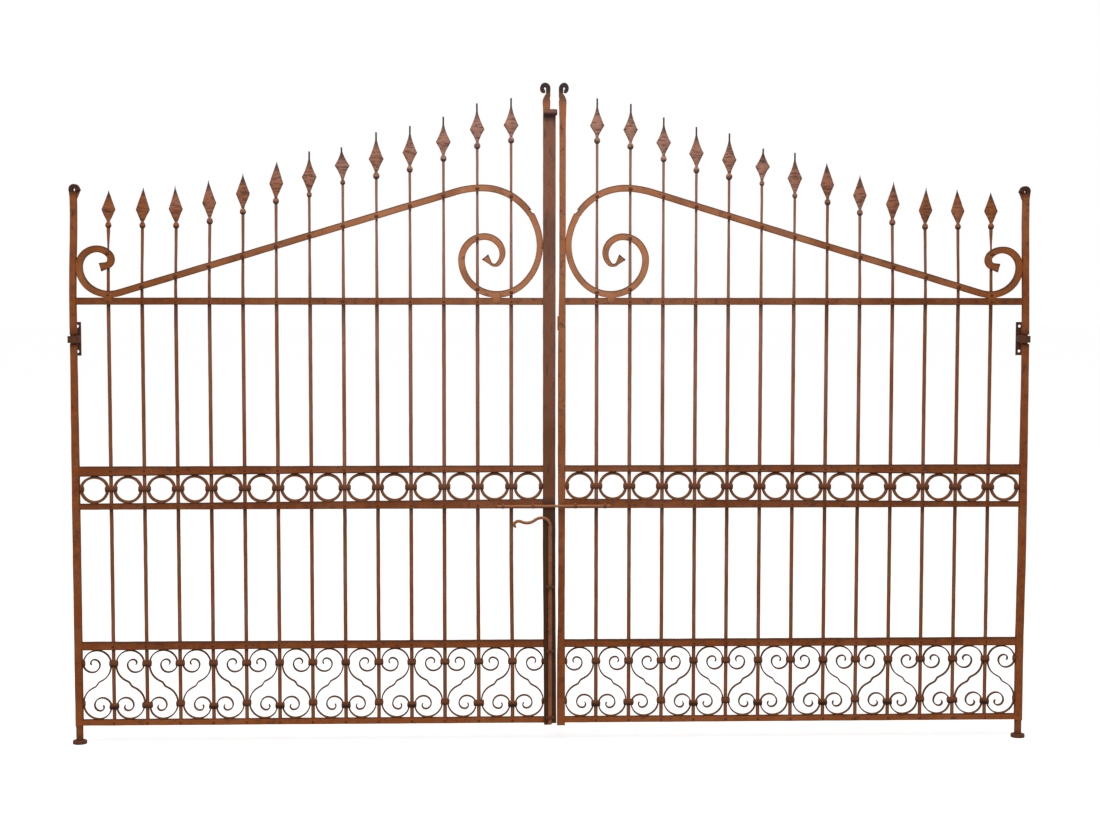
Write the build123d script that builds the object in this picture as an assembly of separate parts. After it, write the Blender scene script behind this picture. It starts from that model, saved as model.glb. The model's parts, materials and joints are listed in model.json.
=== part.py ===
from build123d import *
import os
from math import asin, atan2, cos, degrees, hypot, radians, sin, sqrt, tan

os.makedirs("parts", exist_ok=True)

# A pair of wrought iron gate leaves, in millimetres.
# X runs along the gate, +Y is the outer side, Z is up from the ground.
# Each leaf is drawn from its hanging stile (u = 0) towards its meeting stile,
# and the right leaf is the mirror image of the left one.

# Overall size of a leaf
STILE_SPACING = 1664.0      # hanging stile centre to meeting stile centre
MEETING_GAP = 55.0          # centre to centre of the two meeting stiles
BAR_COUNT = 13
END_BAY = 124.0             # stile centre to first or last bar centre

# Bar stock
HANGING_STILE = 26.0        # square bar
MEETING_STILE = 24.0        # square bar
RAIL_DEPTH = 24.0
BAR_D = 13.5                # round bar up to the top rail
BAR_TOP_D = 11.0            # round bar drawn down above the top rail
HOLE_CLEARANCE = 0.3        # radial, where a bar passes through a rail

# Heights of the rails: centre line and front height
BOTTOM_RAIL_Z = 76.0
BOTTOM_RAIL_H = 20.0
SCROLL_RAIL_Z = 353.0
SCROLL_RAIL_H = 26.0
RING_LOW_RAIL_Z = 854.0
RING_LOW_RAIL_H = 22.0
RING_TOP_RAIL_Z = 981.5
RING_TOP_RAIL_H = 26.0
TOP_RAIL_Z = 1580.0
TOP_RAIL_H = 25.0

# Hanging gear
FLOOR_SOCKET_D = 50.0
FLOOR_SOCKET_H = 12.0
FLOOR_SOCKET_ROUND = 3.0
HEEL_PIN_D = 24.0
HEEL_PIN_NOSE = 8.0
HEEL_PIN_SEAT = 4.0         # height of the pin's tip above the ground
PIN_CLEARANCE = 0.06        # radial running fit of the heel pin
JOURNAL_DROP = 135.0        # journal's middle below the top rail
JOURNAL_L = 30.0
COLLAR_H = 24.0
COLLAR_WALL = 8.0
JOURNAL_CLEARANCE = 0.06    # radial running fit of the collar
BRACKET_REACH = 75.0        # journal axis to the flange's bolted face
FLANGE_W = 24.0
FLANGE_H = 120.0
FLANGE_T = 8.0
FLANGE_HOLE_D = 11.0
FLANGE_HOLE_SPACING = 90.0

# Stile ends
HANGING_TOP_RISE = 409.0    # top of the rolled knob above the top rail
KNOB_STRIP = 14.0
KNOB_R = 11.0
KNOB_STEM = 6.0             # straight part below the roll
KNOB_LEAN = 10              # the roll starts leaning away from the leaf
KNOB_FOLD = 65              # turn past the top, down towards the leaf
KNOB_LIP = 12.0             # straight end, which rests on the stile's shoulder
HEEL_SHOULDER = 3.0
MEETING_BOTTOM_Z = 58.0
MEETING_NECK_RISE = 695.0   # above the top rail
MEETING_DRAWN_W = 18.0      # where the stile starts to be drawn down
CROOK_NECK_BENDS = ((34, -24), (34, 24))
CROOK_STRAIGHT = 26.5
CROOK_STRIP = 12.0
CROOK_DEPTH = 18.0
CROOK_BENDS = ((12, 180), (11, 60), (8, 40))
CROOK_END_W = 8.0
STRAP_DROP = 78.0           # below the top rail
STRAP_H = 50.0
STRAP_T = 3.5

# Spear heads
BALL_D = 22.0
BALL_SEAT = 9.0             # ball centre above the bar's end
HEAD_W = 48.0
HEAD_T = 13.0
HEAD_NECK_W = 12.0
HEAD_TIP_W = 2.0
SHOULDER_RISES = (52, 53, 55, 62, 61, 59, 62, 56, 58, 57, 56, 58, 56)     # widest point above the ball
TIP_RISES = (119, 134, 136, 137, 124, 133, 150, 124, 152, 149, 145, 148, 146)   # above the ball
BALL_RISES = (266, 265, 265, 280, 314, 351, 374, 417, 440, 463, 502, 546, 566)    # above the top rail

# Crest scroll bar
CREST_T = 24.0              # thickness seen from the front
CREST_THIN = 22.0           # thickness round the volute's outer turn
CREST_DEPTH = 22.0
SEAT_GAP = 0.2              # between a scroll and what it leans against
SADDLE_R = 146.0            # bend where the bar rests on the top rail
SHOULDER_R = 320.0          # bend from the rake into the volute
TAIL_BENDS = ((101, 45), (94, 45), (65, 45), (58, 45), (60, 45), (28, 45), (22, 75))
TAIL_END_L = 23.0
TAIL_END_W = 31.0
VOLUTE_BENDS = ((199, 45), (206, 45), (185, 45), (138, 45), (124, 45), (119, 45),
                (86, 45), (78, 45), (65, 45), (57, 45), (52, 45), (18, 45), (18, 50))
VOLUTE_TAPER_W = 16.0       # in the last turn of the volute
VOLUTE_END_W = 11.0
SNUB_L = 30.0
SNUB_W = 30.0

# Ring band
RING_T = 10.0
RING_DEPTH = 16.0
RING_SIDE_GAP = 0.7         # between a ring and the bars beside it
RING_COLLAR_H = 19.0
RING_COLLAR_WALL = 2.5
COLLAR_CLEARANCE = 0.3

# S-scroll band
SCROLL_STRIP = 4.6
SCROLL_STRIP_END = 2.8
SCROLL_DEPTH = 14.0
SCROLL_BAR_GAP = 0.8        # between a scroll's widest point and the bar beside it
UPPER_BELLY_R = 49.2        # from the rail round to the side where the S leaves for the other end
LOWER_BELLY_R = 54.0
SCROLL_CURL_BENDS = ((32, 90), (27, 90), (20, 90), (12.5, 90), (8, 60))
SCROLL_ELBOW_R = 58.0
SCROLL_LEAST_STRAIGHT = 2.0     # between the elbow and the belly
KINK_LENGTH = 17.0
KINK_SLOPE = 58.0
ARM_SLOPE = 28.0
KINK_R = 9.0
SCROLL_COLLAR_H = 20.0
SCROLL_COLLAR_WALL = 1.8
LEAN_RIGHT, LEAN_LEFT = "/", "\\"
SCROLL_LEANS = "/\\\\/\\/\\/\\/\\//\\"

# Slam bar and its stop, on the left leaf
SLAM_W = 44.0
SLAM_T = 8.0
SLAM_OFFSET = 10.0          # bar centre past the meeting stile's centre
SLAM_BOTTOM_Z = 66.0
SLAM_TOP_DROP = 43.0        # below the meeting stile's neck
STOP_D = 23.0
STOP_DOME = 7.0
STOP_START = -10.0
STOP_END = 37.0

# Drop bolt and its staples, on the left leaf
BOLT_D = 14.5
BOLT_NOSE = 3.0
BOLT_OFFSET = 13.5
BOLT_TIP_Z = 64.5
BOLT_STRAIGHT_TOP_Z = 780.0
BOLT_HANDLE_D = 11.0
BOLT_CLEARANCE = 0.5
BOLT_FACE_GAP = 1.0         # between the bolt and the slam bar
BOLT_STAPLES_Z = (90.0, 330.0, 562.0)
STAPLE_H = 9.6
STAPLE_WALL = 5.5
HANDLE_BENDS = ((30, 90), (40, 38), (46, -64), (19, 80), (7, 130))

# Short closing rods, one on each leaf
ROD_D = 10.0
ROD_CHAMFER = 1.0
ROD_Z = 851.0
ROD_START = -175.0          # inner end, from the meeting stile's centre
ROD_END_GAP = 3.0           # rod end to the middle of the gap between slam bar and right leaf
ROD_CLEARANCE = 0.5
ROD_FACE_GAP = 1.0
ROD_STAPLES = (-154.0, -48.0)   # from the meeting stile's centre
ROD_STAPLE_W = 8.0
ROD_STAPLE_WALL = 2.0

# Worked out from the sizes above
JOURNAL_Z = TOP_RAIL_Z - JOURNAL_DROP
HANGING_TOP_Z = TOP_RAIL_Z + HANGING_TOP_RISE
MEETING_NECK_Z = TOP_RAIL_Z + MEETING_NECK_RISE
SLAM_TOP_Z = MEETING_NECK_Z - SLAM_TOP_DROP
STRAP_Z = TOP_RAIL_Z - STRAP_DROP
BALL_HEIGHTS = [TOP_RAIL_Z + rise for rise in BALL_RISES]
BAR_PITCH = (STILE_SPACING - 2 * END_BAY) / (BAR_COUNT - 1)
BARS_U = [END_BAY + BAR_PITCH * k for k in range(BAR_COUNT)]
HANG_FACE = HANGING_STILE / 2
MEET_FACE = STILE_SPACING - MEETING_STILE / 2
TOP_RAIL_TOP = TOP_RAIL_Z + TOP_RAIL_H / 2
BOTTOM_RAIL_TOP = BOTTOM_RAIL_Z + BOTTOM_RAIL_H / 2
BOTTOM_RAIL_UNDER = BOTTOM_RAIL_Z - BOTTOM_RAIL_H / 2
FRONT = -MEETING_STILE / 2
PIVOT_SPACING = 2 * STILE_SPACING + MEETING_GAP
SLAM_EDGE = STILE_SPACING + SLAM_OFFSET + SLAM_W / 2
ROD_MEET_X = (SLAM_EDGE + PIVOT_SPACING - STILE_SPACING - MEETING_STILE / 2) / 2
BAY_EDGES = [(a + BAR_D / 2, b - BAR_D / 2) for a, b in zip(BARS_U, BARS_U[1:])]
BAY_EDGES = [(HANG_FACE, BARS_U[0] - BAR_D / 2)] + BAY_EDGES + [(BARS_U[-1] + BAR_D / 2, MEET_FACE)]


# Bent strips, drawn in the X-Z plane as tangent arcs and straights

def moved(x, z, heading, move, share=1.0):
    """The place and heading after a share of one move, a straight or a bend."""
    size, turn = move
    if turn is None:
        reach = size * share
        return x + reach * cos(radians(heading)), z + reach * sin(radians(heading)), heading
    side = 1 if turn > 0 else -1
    centre_x = x - side * size * sin(radians(heading))
    centre_z = z + side * size * cos(radians(heading))
    after = heading + turn * share
    x_after = centre_x + side * size * sin(radians(after))
    z_after = centre_z - side * size * cos(radians(after))
    return x_after, z_after, after


def reach(heading, moves):
    """How far a chain of moves carries a strip from where it starts."""
    x, z = 0.0, 0.0
    for move in moves:
        x, z, heading = moved(x, z, heading, move)
    return x, z, heading


def beside(place, width):
    x, z, heading = place
    return Vector(x - width * sin(radians(heading)), 0, z + width * cos(radians(heading)))


def strip(start, heading, moves, widths, depth, y_mid=0.0):
    """A flat strip bent along a chain of moves, with its width given at each joint."""
    left, right = [], []
    place = (start[0], start[1], heading)
    for move, width, next_width in zip(moves, widths, widths[1:]):
        middle = moved(*place, move, 0.5)
        end = moved(*place, move)
        mid_width = (width + next_width) / 2
        for edges, side in ((left, 0.5), (right, -0.5)):
            first = beside(place, side * width)
            last = beside(end, side * next_width)
            if move[1] is None:
                edges.append(Edge.make_line(first, last))
            else:
                via = beside(middle, side * mid_width)
                edges.append(Edge.make_three_point_arc(first, via, last))
        place = end
    caps = [Edge.make_line(left[-1] @ 1, right[-1] @ 1), Edge.make_line(right[0] @ 0, left[0] @ 0)]
    outline = Wire(left + [caps[0]] + right[::-1] + [caps[1]])
    face = Face(outline).moved(Location((0, y_mid - depth / 2, 0)))
    return Solid.extrude(face, Vector(0, depth, 0))


def block(x_low, x_high, y_low, y_high, z_low, z_high):
    """A rectangular bar between two corners."""
    middle = ((x_low + x_high) / 2, (y_low + y_high) / 2, (z_low + z_high) / 2)
    return Pos(*middle) * Box(x_high - x_low, y_high - y_low, z_high - z_low)


def upright(x, y, z_low, z_high, diameter):
    """A round bar standing between two heights."""
    return Pos(x, y, (z_low + z_high) / 2) * Cylinder(diameter / 2, z_high - z_low)


def lying(x_low, x_high, y, z, diameter):
    """A round bar lying along X."""
    return Pos((x_low + x_high) / 2, y, z) * Rot(0, 90, 0) * Cylinder(diameter / 2, x_high - x_low)


# Leaf frame

def hanging_stile():
    """Square stile with a heel pin, a round journal for the collar and a rolled knob."""
    half = HANGING_STILE / 2
    roll_z = HANGING_TOP_Z - KNOB_R - KNOB_STRIP / 2
    stem_top = roll_z - KNOB_STEM
    journal_low = JOURNAL_Z - JOURNAL_L / 2
    journal_high = JOURNAL_Z + JOURNAL_L / 2
    shoulder = BOTTOM_RAIL_UNDER - HEEL_SHOULDER
    body = block(-half, half, -half, half, shoulder, journal_low)
    body += upright(0, 0, journal_low, journal_high, HANGING_STILE)
    body += block(-half, half, -half, half, journal_high, stem_top)
    pin = upright(0, 0, HEEL_PIN_SEAT, shoulder, HEEL_PIN_D)
    body += fillet(pin.edges().sort_by(Axis.Z)[0], HEEL_PIN_NOSE)
    moves = [(KNOB_STEM, None), (KNOB_R, -90 - KNOB_LEAN), (KNOB_R, -KNOB_FOLD), (KNOB_LIP, None)]
    widths = [KNOB_STRIP] * 5
    start = (KNOB_STRIP / 2 - half, stem_top - 1)
    roll = strip(start, 90 + KNOB_LEAN, moves, widths, HANGING_STILE)
    return body + roll


def meeting_stile():
    """Square stile, drawn down at the top into a small crook that curls towards the leaf."""
    half = MEETING_STILE / 2
    body = block(STILE_SPACING - half, STILE_SPACING + half, -half, half, MEETING_BOTTOM_Z, MEETING_NECK_Z)
    moves = list(CROOK_NECK_BENDS) + [(CROOK_STRAIGHT, None)] + list(CROOK_BENDS)
    widths = [MEETING_STILE, MEETING_DRAWN_W] + [CROOK_STRIP] * 4 + [CROOK_END_W]
    crook = strip((STILE_SPACING, MEETING_NECK_Z), 90, moves, widths, CROOK_DEPTH)
    return body + crook


def stile_strap():
    """Thin wear plate on the meeting stile's inner face."""
    face = STILE_SPACING + MEETING_STILE / 2
    half = MEETING_STILE / 2
    return block(face, face + STRAP_T, -half, half, STRAP_Z - STRAP_H / 2, STRAP_Z + STRAP_H / 2)


def rail(z_mid, height, diameter=BAR_D):
    """Square rail between the stiles, punched where the bars pass through."""
    body = block(HANG_FACE, MEET_FACE, -RAIL_DEPTH / 2, RAIL_DEPTH / 2,
                 z_mid - height / 2, z_mid + height / 2)
    holes = [upright(u, 0, z_mid - height, z_mid + height, diameter + 2 * HOLE_CLEARANCE) for u in BARS_U]
    return body - holes


def bar(u, ball_z):
    """Round bar from the bottom rail to its spear head, thinner above the top rail."""
    lower = upright(u, 0, BOTTOM_RAIL_UNDER, TOP_RAIL_TOP, BAR_D)
    return lower + upright(u, 0, TOP_RAIL_TOP, ball_z - BALL_SEAT, BAR_TOP_D)


def lozenge(ball_z, shoulder, tip, half):
    """Outline of a head on one side or the other: neck, widest point and narrow tip."""
    neck = HEAD_NECK_W / 2
    end = HEAD_TIP_W / 2
    points = [(-neck, ball_z), (-half, shoulder), (-end, tip), (end, tip), (half, shoulder), (neck, ball_z)]
    return make_face(Polyline(*points, close=True))


def spear_head(u, ball_z, shoulder_rise, tip_rise):
    """Ball collar and flat lozenge head forged in one."""
    heights = (ball_z, ball_z + shoulder_rise, ball_z + tip_rise)
    across = Pos(u, 0, 0) * extrude(Plane.XZ * lozenge(*heights, HEAD_W / 2), HEAD_W, both=True)
    along = extrude(Plane.YZ * lozenge(*heights, HEAD_T / 2), HEAD_W, both=True)
    head = across & (Pos(u, 0, 0) * along)
    ball = Pos(u, 0, ball_z) * Sphere(BALL_D / 2)
    ball -= block(u - BALL_D, u + BALL_D, -BALL_D, BALL_D, ball_z - BALL_D, ball_z - BALL_SEAT)
    return ball + head


# Crest scroll

def crest_scroll():
    """One long bar: a C-scroll on the top rail, a straight rake and a large volute."""
    saddle_z = TOP_RAIL_TOP + SEAT_GAP + CREST_T / 2
    tail = [(radius, -turn) for radius, turn in TAIL_BENDS]
    volute = [(radius, -turn) for radius, turn in VOLUTE_BENDS]
    tail_reach = -reach(180, tail[:2])[0]
    saddle_u = HANG_FACE + SEAT_GAP + CREST_T / 2 + tail_reach
    to_side = reach(0, volute[:2])[0]
    to_rail = -reach(0, volute[:4])[1]
    top_u = MEET_FACE - SEAT_GAP - CREST_THIN / 2 - to_side
    top_z = TOP_RAIL_TOP + SEAT_GAP + CREST_T / 2 + to_rail
    rise = (top_z - SHOULDER_R) - (saddle_z + SADDLE_R)
    run = top_u - saddle_u
    span = hypot(run, rise)
    rake = degrees(atan2(rise, run) + asin((SADDLE_R + SHOULDER_R) / span))
    rake_length = sqrt(span ** 2 - (SADDLE_R + SHOULDER_R) ** 2)
    right_moves = [(SADDLE_R, rake), (rake_length, None), (SHOULDER_R, -rake)] + volute
    right_moves += [(SNUB_L, None)]
    right_widths = [CREST_T] * 5 + [CREST_THIN] * 2 + [CREST_T] * 6
    right_widths += [CREST_THIN, VOLUTE_TAPER_W, VOLUTE_END_W, VOLUTE_END_W, SNUB_W]
    tail_moves = tail + [(TAIL_END_L, None)]
    tail_widths = [CREST_T] * len(tail_moves) + [TAIL_END_W]
    body = strip((saddle_u, saddle_z), 0, right_moves, right_widths, CREST_DEPTH)
    body += strip((saddle_u, saddle_z), 180, tail_moves, tail_widths, CREST_DEPTH)
    hole = BAR_TOP_D + 2 * HOLE_CLEARANCE
    return body - [upright(u, 0, TOP_RAIL_TOP, top_z + CREST_T, hole) for u in BARS_U]


# Ring band

RING_SPACE_LOW = RING_LOW_RAIL_Z + RING_LOW_RAIL_H / 2
RING_SPACE_HIGH = RING_TOP_RAIL_Z - RING_TOP_RAIL_H / 2
RING_Z = (RING_SPACE_LOW + RING_SPACE_HIGH) / 2
RING_H = RING_SPACE_HIGH - RING_SPACE_LOW - 2 * SEAT_GAP
RING_W = BAR_PITCH - BAR_D - 2 * RING_SIDE_GAP


def ring_width(bay):
    """All rings are alike, unless a bay is too narrow for one."""
    low, high = BAY_EDGES[bay]
    return min(RING_W, high - low - 2 * SEAT_GAP)


def ring(bay):
    """Forged ring between the two rails of the ring band, oval where its bay is not as wide as the band."""
    low, high = BAY_EDGES[bay]
    width = ring_width(bay)
    outline = Ellipse(width / 2, RING_H / 2) - Ellipse(width / 2 - RING_T, RING_H / 2 - RING_T)
    return Pos((low + high) / 2, 0, RING_Z) * extrude(Plane.XZ * outline, RING_DEPTH / 2, both=True)


def band(x_low, x_high, z_mid, height, wall, depth):
    """Collar of flat strip wrapped round whatever stands between two faces."""
    outer = block(x_low - wall, x_high + wall, -depth / 2 - wall, depth / 2 + wall,
                  z_mid - height / 2, z_mid + height / 2)
    return outer - block(x_low, x_high, -depth / 2, depth / 2, z_mid - height, z_mid + height)


def clip(face, x_far, z_mid, height, wall, depth):
    """Collar open at a stile, whose two ends butt on the stile's face."""
    low, high = sorted((face, x_far))
    body = band(low, high, z_mid, height, wall, depth)
    if x_far > face:
        return body - block(low - 2 * wall, face, -depth, depth, z_mid - height, z_mid + height)
    return body - block(face, high + 2 * wall, -depth, depth, z_mid - height, z_mid + height)


def collar_row(z_of, height, wall, depth, reach_of):
    """One collar on each bar and one at each stile, wide enough for what they bind."""
    hold = max(depth, BAR_D) + 2 * COLLAR_CLEARANCE
    edges = [(HANG_FACE, None)] + [(u, k) for k, u in enumerate(BARS_U)] + [(MEET_FACE, None)]
    pieces = []
    for k, (u, number) in enumerate(edges):
        left = reach_of(k - 1, "right") if k > 0 else 0
        right = reach_of(k, "left") if k < len(BAY_EDGES) else 0
        if number is None and k == 0:
            pieces.append(clip(u, u + right, z_of(k), height, wall, hold))
        elif number is None:
            pieces.append(clip(u, u - left, z_of(k), height, wall, hold))
        else:
            side = BAR_D / 2 + max(left, right)
            pieces.append(band(u - side, u + side, z_of(k), height, wall, hold))
    return pieces


def ring_collars():
    """Collars that tie each ring to the bar or stile beside it."""
    level = RING_COLLAR_H / 2 / (RING_H / 2 - RING_T)

    def wall_reach(bay, side):
        low, high = BAY_EDGES[bay]
        half_chord = (ring_width(bay) / 2 - RING_T) * sqrt(1 - level ** 2)
        return (high - low) / 2 - half_chord + COLLAR_CLEARANCE

    return collar_row(lambda k: RING_Z, RING_COLLAR_H, RING_COLLAR_WALL, RING_DEPTH, wall_reach)


# S-scroll band

SCROLL_SPACE_LOW = BOTTOM_RAIL_TOP
SCROLL_SPACE_HIGH = SCROLL_RAIL_Z - SCROLL_RAIL_H / 2
SCROLL_EDGE = SEAT_GAP + SCROLL_STRIP / 2
SCROLL_SIDE_GAP = SCROLL_BAR_GAP + SCROLL_STRIP / 2
CURL_R = SCROLL_CURL_BENDS[0][0]


def curl_side_r(bay, belly_r):
    """Radius from the rail round to the side where the curl turns in."""
    low, high = BAY_EDGES[bay]
    return (high - low) - 2 * SCROLL_SIDE_GAP - belly_r


def half_scroll(bay, z_mid, z_rail, belly_r):
    """Upper half of a right leaning S: from the kink out to the side and round the curl."""
    low, high = BAY_EDGES[bay]
    u_mid = (low + high) / 2
    side_u = high - SCROLL_SIDE_GAP
    side_z = z_rail - SCROLL_EDGE - belly_r
    kink_u = u_mid + KINK_LENGTH / 2 * cos(radians(KINK_SLOPE))
    kink_z = z_mid + KINK_LENGTH / 2 * sin(radians(KINK_SLOPE))
    arm = radians(ARM_SLOPE)
    elbow_z = kink_z + (side_u - kink_u) * tan(arm)
    elbow_share = tan(radians(90 - ARM_SLOPE) / 2)
    elbow_r = min(SCROLL_ELBOW_R, (side_z - elbow_z - SCROLL_LEAST_STRAIGHT) / elbow_share)
    elbow_trim = elbow_r * elbow_share
    kink_turn = KINK_SLOPE - ARM_SLOPE
    kink_trim = KINK_R * tan(radians(kink_turn) / 2)
    arm_length = (side_u - kink_u) / cos(arm) - elbow_trim - kink_trim
    rise = side_z - elbow_z - elbow_trim
    moves = [(KINK_LENGTH / 2 - kink_trim, None), (KINK_R, -kink_turn), (arm_length, None)]
    moves += [(elbow_r, 90 - ARM_SLOPE), (rise, None), (belly_r, 90)]
    moves += [(curl_side_r(bay, belly_r), 90)] + list(SCROLL_CURL_BENDS)
    widths = [SCROLL_STRIP] * len(moves) + [SCROLL_STRIP_END]
    return strip((u_mid, z_mid), KINK_SLOPE, moves, widths, SCROLL_DEPTH)


def s_scroll(bay):
    """Thin S of flat strip, a curl against each rail and a kink half way."""
    low, high = BAY_EDGES[bay]
    u_mid = (low + high) / 2
    z_mid = (SCROLL_SPACE_LOW + SCROLL_SPACE_HIGH) / 2
    upper = half_scroll(bay, z_mid, SCROLL_SPACE_HIGH, UPPER_BELLY_R)
    lower = half_scroll(bay, z_mid, SCROLL_SPACE_HIGH, LOWER_BELLY_R)
    turned = Pos(u_mid, 0, z_mid) * Rot(0, 180, 0) * Pos(-u_mid, 0, -z_mid) * lower
    whole = upper + turned
    if lean_of(bay) == LEAN_LEFT:
        whole = mirror(whole, about=Plane((u_mid, 0, 0), x_dir=(0, 1, 0), z_dir=(1, 0, 0)))
    return whole


def lean_of(bay):
    return SCROLL_LEANS[bay % len(SCROLL_LEANS)]


def is_belly(bay, side, upper):
    """Whether the belly of a scroll, not its curl, faces that side of the bay."""
    right = side == "right"
    return right == ((lean_of(bay) == LEAN_RIGHT) == upper)


def widest_rise(bay, side, upper):
    """Distance from the rail to the scroll's widest point on one side of its bay."""
    belly_r = UPPER_BELLY_R if upper else LOWER_BELLY_R
    radius = belly_r if is_belly(bay, side, upper) else curl_side_r(bay, belly_r)
    return SCROLL_EDGE + radius


def collar_rise(k, upper):
    """Distance from the rail to the collar on an upright, between the two widest points."""
    rises = []
    if k > 0:
        rises.append(widest_rise(k - 1, "right", upper))
    if k < len(BAY_EDGES):
        rises.append(widest_rise(k, "left", upper))
    return sum(rises) / len(rises)


def strip_reach(k, bay, side, upper):
    """How far a collar reaches from the bar to clear the strip's inner edge."""
    widest = widest_rise(bay, side, upper)
    rise = collar_rise(k, upper)
    past = max(rise + SCROLL_COLLAR_H / 2 - widest, 0)
    short = max(widest - rise + SCROLL_COLLAR_H / 2, 0)
    away_r = SCROLL_ELBOW_R if is_belly(bay, side, upper) else CURL_R
    near_r = widest - SCROLL_EDGE
    bulges = []
    for radius, run in ((away_r, past), (near_r, short)):
        inner_r = radius - SCROLL_STRIP / 2
        bulges.append(inner_r - sqrt(inner_r ** 2 - run ** 2))
    return SCROLL_BAR_GAP + SCROLL_STRIP + max(bulges) + COLLAR_CLEARANCE


def scroll_collars():
    """Collars that tie the S-scrolls to the bars, above and below."""
    pieces = []
    for upper in (True, False):
        def height_of(k):
            rise = collar_rise(k, upper)
            return SCROLL_SPACE_HIGH - rise if upper else SCROLL_SPACE_LOW + rise

        def reach_of(bay, side):
            k = bay + 1 if side == "right" else bay
            return strip_reach(k, bay, side, upper)

        pieces += collar_row(height_of, SCROLL_COLLAR_H, SCROLL_COLLAR_WALL, SCROLL_DEPTH, reach_of)
    return pieces


# Fittings on the meeting stile

def slam_bar():
    """Flat bar on the front of the left meeting stile, which covers part of the gap."""
    return block(SLAM_EDGE - SLAM_W, SLAM_EDGE, FRONT - SLAM_T, FRONT, SLAM_BOTTOM_Z, SLAM_TOP_Z)


def slam_stop():
    """Rolled top end of the slam bar, lying across it, with a domed end."""
    y_mid = FRONT - STOP_D / 2 - SEAT_GAP
    z_mid = SLAM_TOP_Z + STOP_D / 2
    body = lying(STILE_SPACING + STOP_START, STILE_SPACING + STOP_END, y_mid, z_mid, STOP_D)
    return fillet(body.edges().sort_by(Axis.X)[-1], STOP_DOME)


BOLT_Y = FRONT - SLAM_T - BOLT_FACE_GAP - BOLT_D / 2
BOLT_U = STILE_SPACING + BOLT_OFFSET


def bolt_staple(z_mid):
    """Square staple that guides the drop bolt on the slam bar."""
    hold = BOLT_D / 2 + BOLT_CLEARANCE
    face = FRONT - SLAM_T
    outer = block(BOLT_U - hold - STAPLE_WALL, BOLT_U + hold + STAPLE_WALL,
                  BOLT_Y - hold - STAPLE_WALL, face, z_mid - STAPLE_H / 2, z_mid + STAPLE_H / 2)
    slot = block(BOLT_U - hold, BOLT_U + hold, BOLT_Y, face, z_mid - STAPLE_H, z_mid + STAPLE_H)
    return outer - slot - upright(BOLT_U, BOLT_Y, z_mid - STAPLE_H, z_mid + STAPLE_H, 2 * hold)


def drop_bolt():
    """Round bolt with a waved handle bent from its upper end."""
    rod = upright(BOLT_U, BOLT_Y, BOLT_TIP_Z, BOLT_STRAIGHT_TOP_Z, BOLT_D)
    rod = fillet(rod.edges().sort_by(Axis.Z)[0], BOLT_NOSE)
    place = (BOLT_U, BOLT_STRAIGHT_TOP_Z, 90)
    edges = []
    for move in HANDLE_BENDS:
        middle = moved(*place, move, 0.5)
        end = moved(*place, move)
        points = [Vector(x, BOLT_Y, z) for x, z, heading in (place, middle, end)]
        edges.append(Edge.make_three_point_arc(*points))
        place = end
    start = Plane((BOLT_U, BOLT_Y, BOLT_STRAIGHT_TOP_Z))
    handle = sweep(start * Circle(BOLT_HANDLE_D / 2), path=Wire(edges))
    return rod + handle


# Closing rods

ROD_Y = FRONT - SLAM_T - ROD_FACE_GAP - ROD_D / 2


def closing_rod(end):
    """Short round rod along the ring band's lower rail, ending in the meeting gap."""
    body = lying(STILE_SPACING + ROD_START, end, ROD_Y, ROD_Z, ROD_D)
    return chamfer(body.edges().filter_by(GeomType.CIRCLE), ROD_CHAMFER)


def rod_staple(offset):
    """Staple that holds the closing rod off the rail."""
    u = STILE_SPACING + offset
    hold = ROD_D / 2 + ROD_CLEARANCE
    outer = block(u - ROD_STAPLE_W / 2, u + ROD_STAPLE_W / 2, ROD_Y - hold - ROD_STAPLE_WALL,
                  -RAIL_DEPTH / 2, ROD_Z - hold - ROD_STAPLE_WALL, ROD_Z + hold + ROD_STAPLE_WALL)
    slot = block(u - ROD_STAPLE_W, u + ROD_STAPLE_W, ROD_Y, -RAIL_DEPTH / 2, ROD_Z - hold, ROD_Z + hold)
    return outer - slot - lying(u - ROD_STAPLE_W, u + ROD_STAPLE_W, ROD_Y, ROD_Z, 2 * hold)


# Hanging gear that stays in place

def floor_socket():
    """Round pivot pot on the ground, in which the heel pin turns."""
    pot = upright(0, 0, 0, FLOOR_SOCKET_H, FLOOR_SOCKET_D)
    pot = fillet(pot.edges().group_by(Axis.Z)[-1], FLOOR_SOCKET_ROUND)
    return pot - upright(0, 0, HEEL_PIN_SEAT, 2 * FLOOR_SOCKET_H, HEEL_PIN_D + 2 * PIN_CLEARANCE)


def collar_bracket():
    """Collar round the journal, on a short arm with a flange for the pier."""
    bore = HANGING_STILE + 2 * JOURNAL_CLEARANCE
    outer = bore + 2 * COLLAR_WALL
    low = JOURNAL_Z - COLLAR_H / 2
    high = JOURNAL_Z + COLLAR_H / 2
    body = upright(0, 0, low, high, outer)
    body += block(-FLANGE_W / 2, FLANGE_W / 2, 0, BRACKET_REACH - FLANGE_T, low, high)
    body += block(-FLANGE_W / 2, FLANGE_W / 2, BRACKET_REACH - FLANGE_T, BRACKET_REACH,
                  JOURNAL_Z - FLANGE_H / 2, JOURNAL_Z + FLANGE_H / 2)
    body -= upright(0, 0, low - 1, high + 1, bore)
    for side in (-1, 1):
        middle = (0, BRACKET_REACH, JOURNAL_Z + side * FLANGE_HOLE_SPACING / 2)
        body -= Pos(*middle) * Rot(90, 0, 0) * Cylinder(FLANGE_HOLE_D / 2, 4 * FLANGE_T)
    return body


# The nodes

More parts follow.
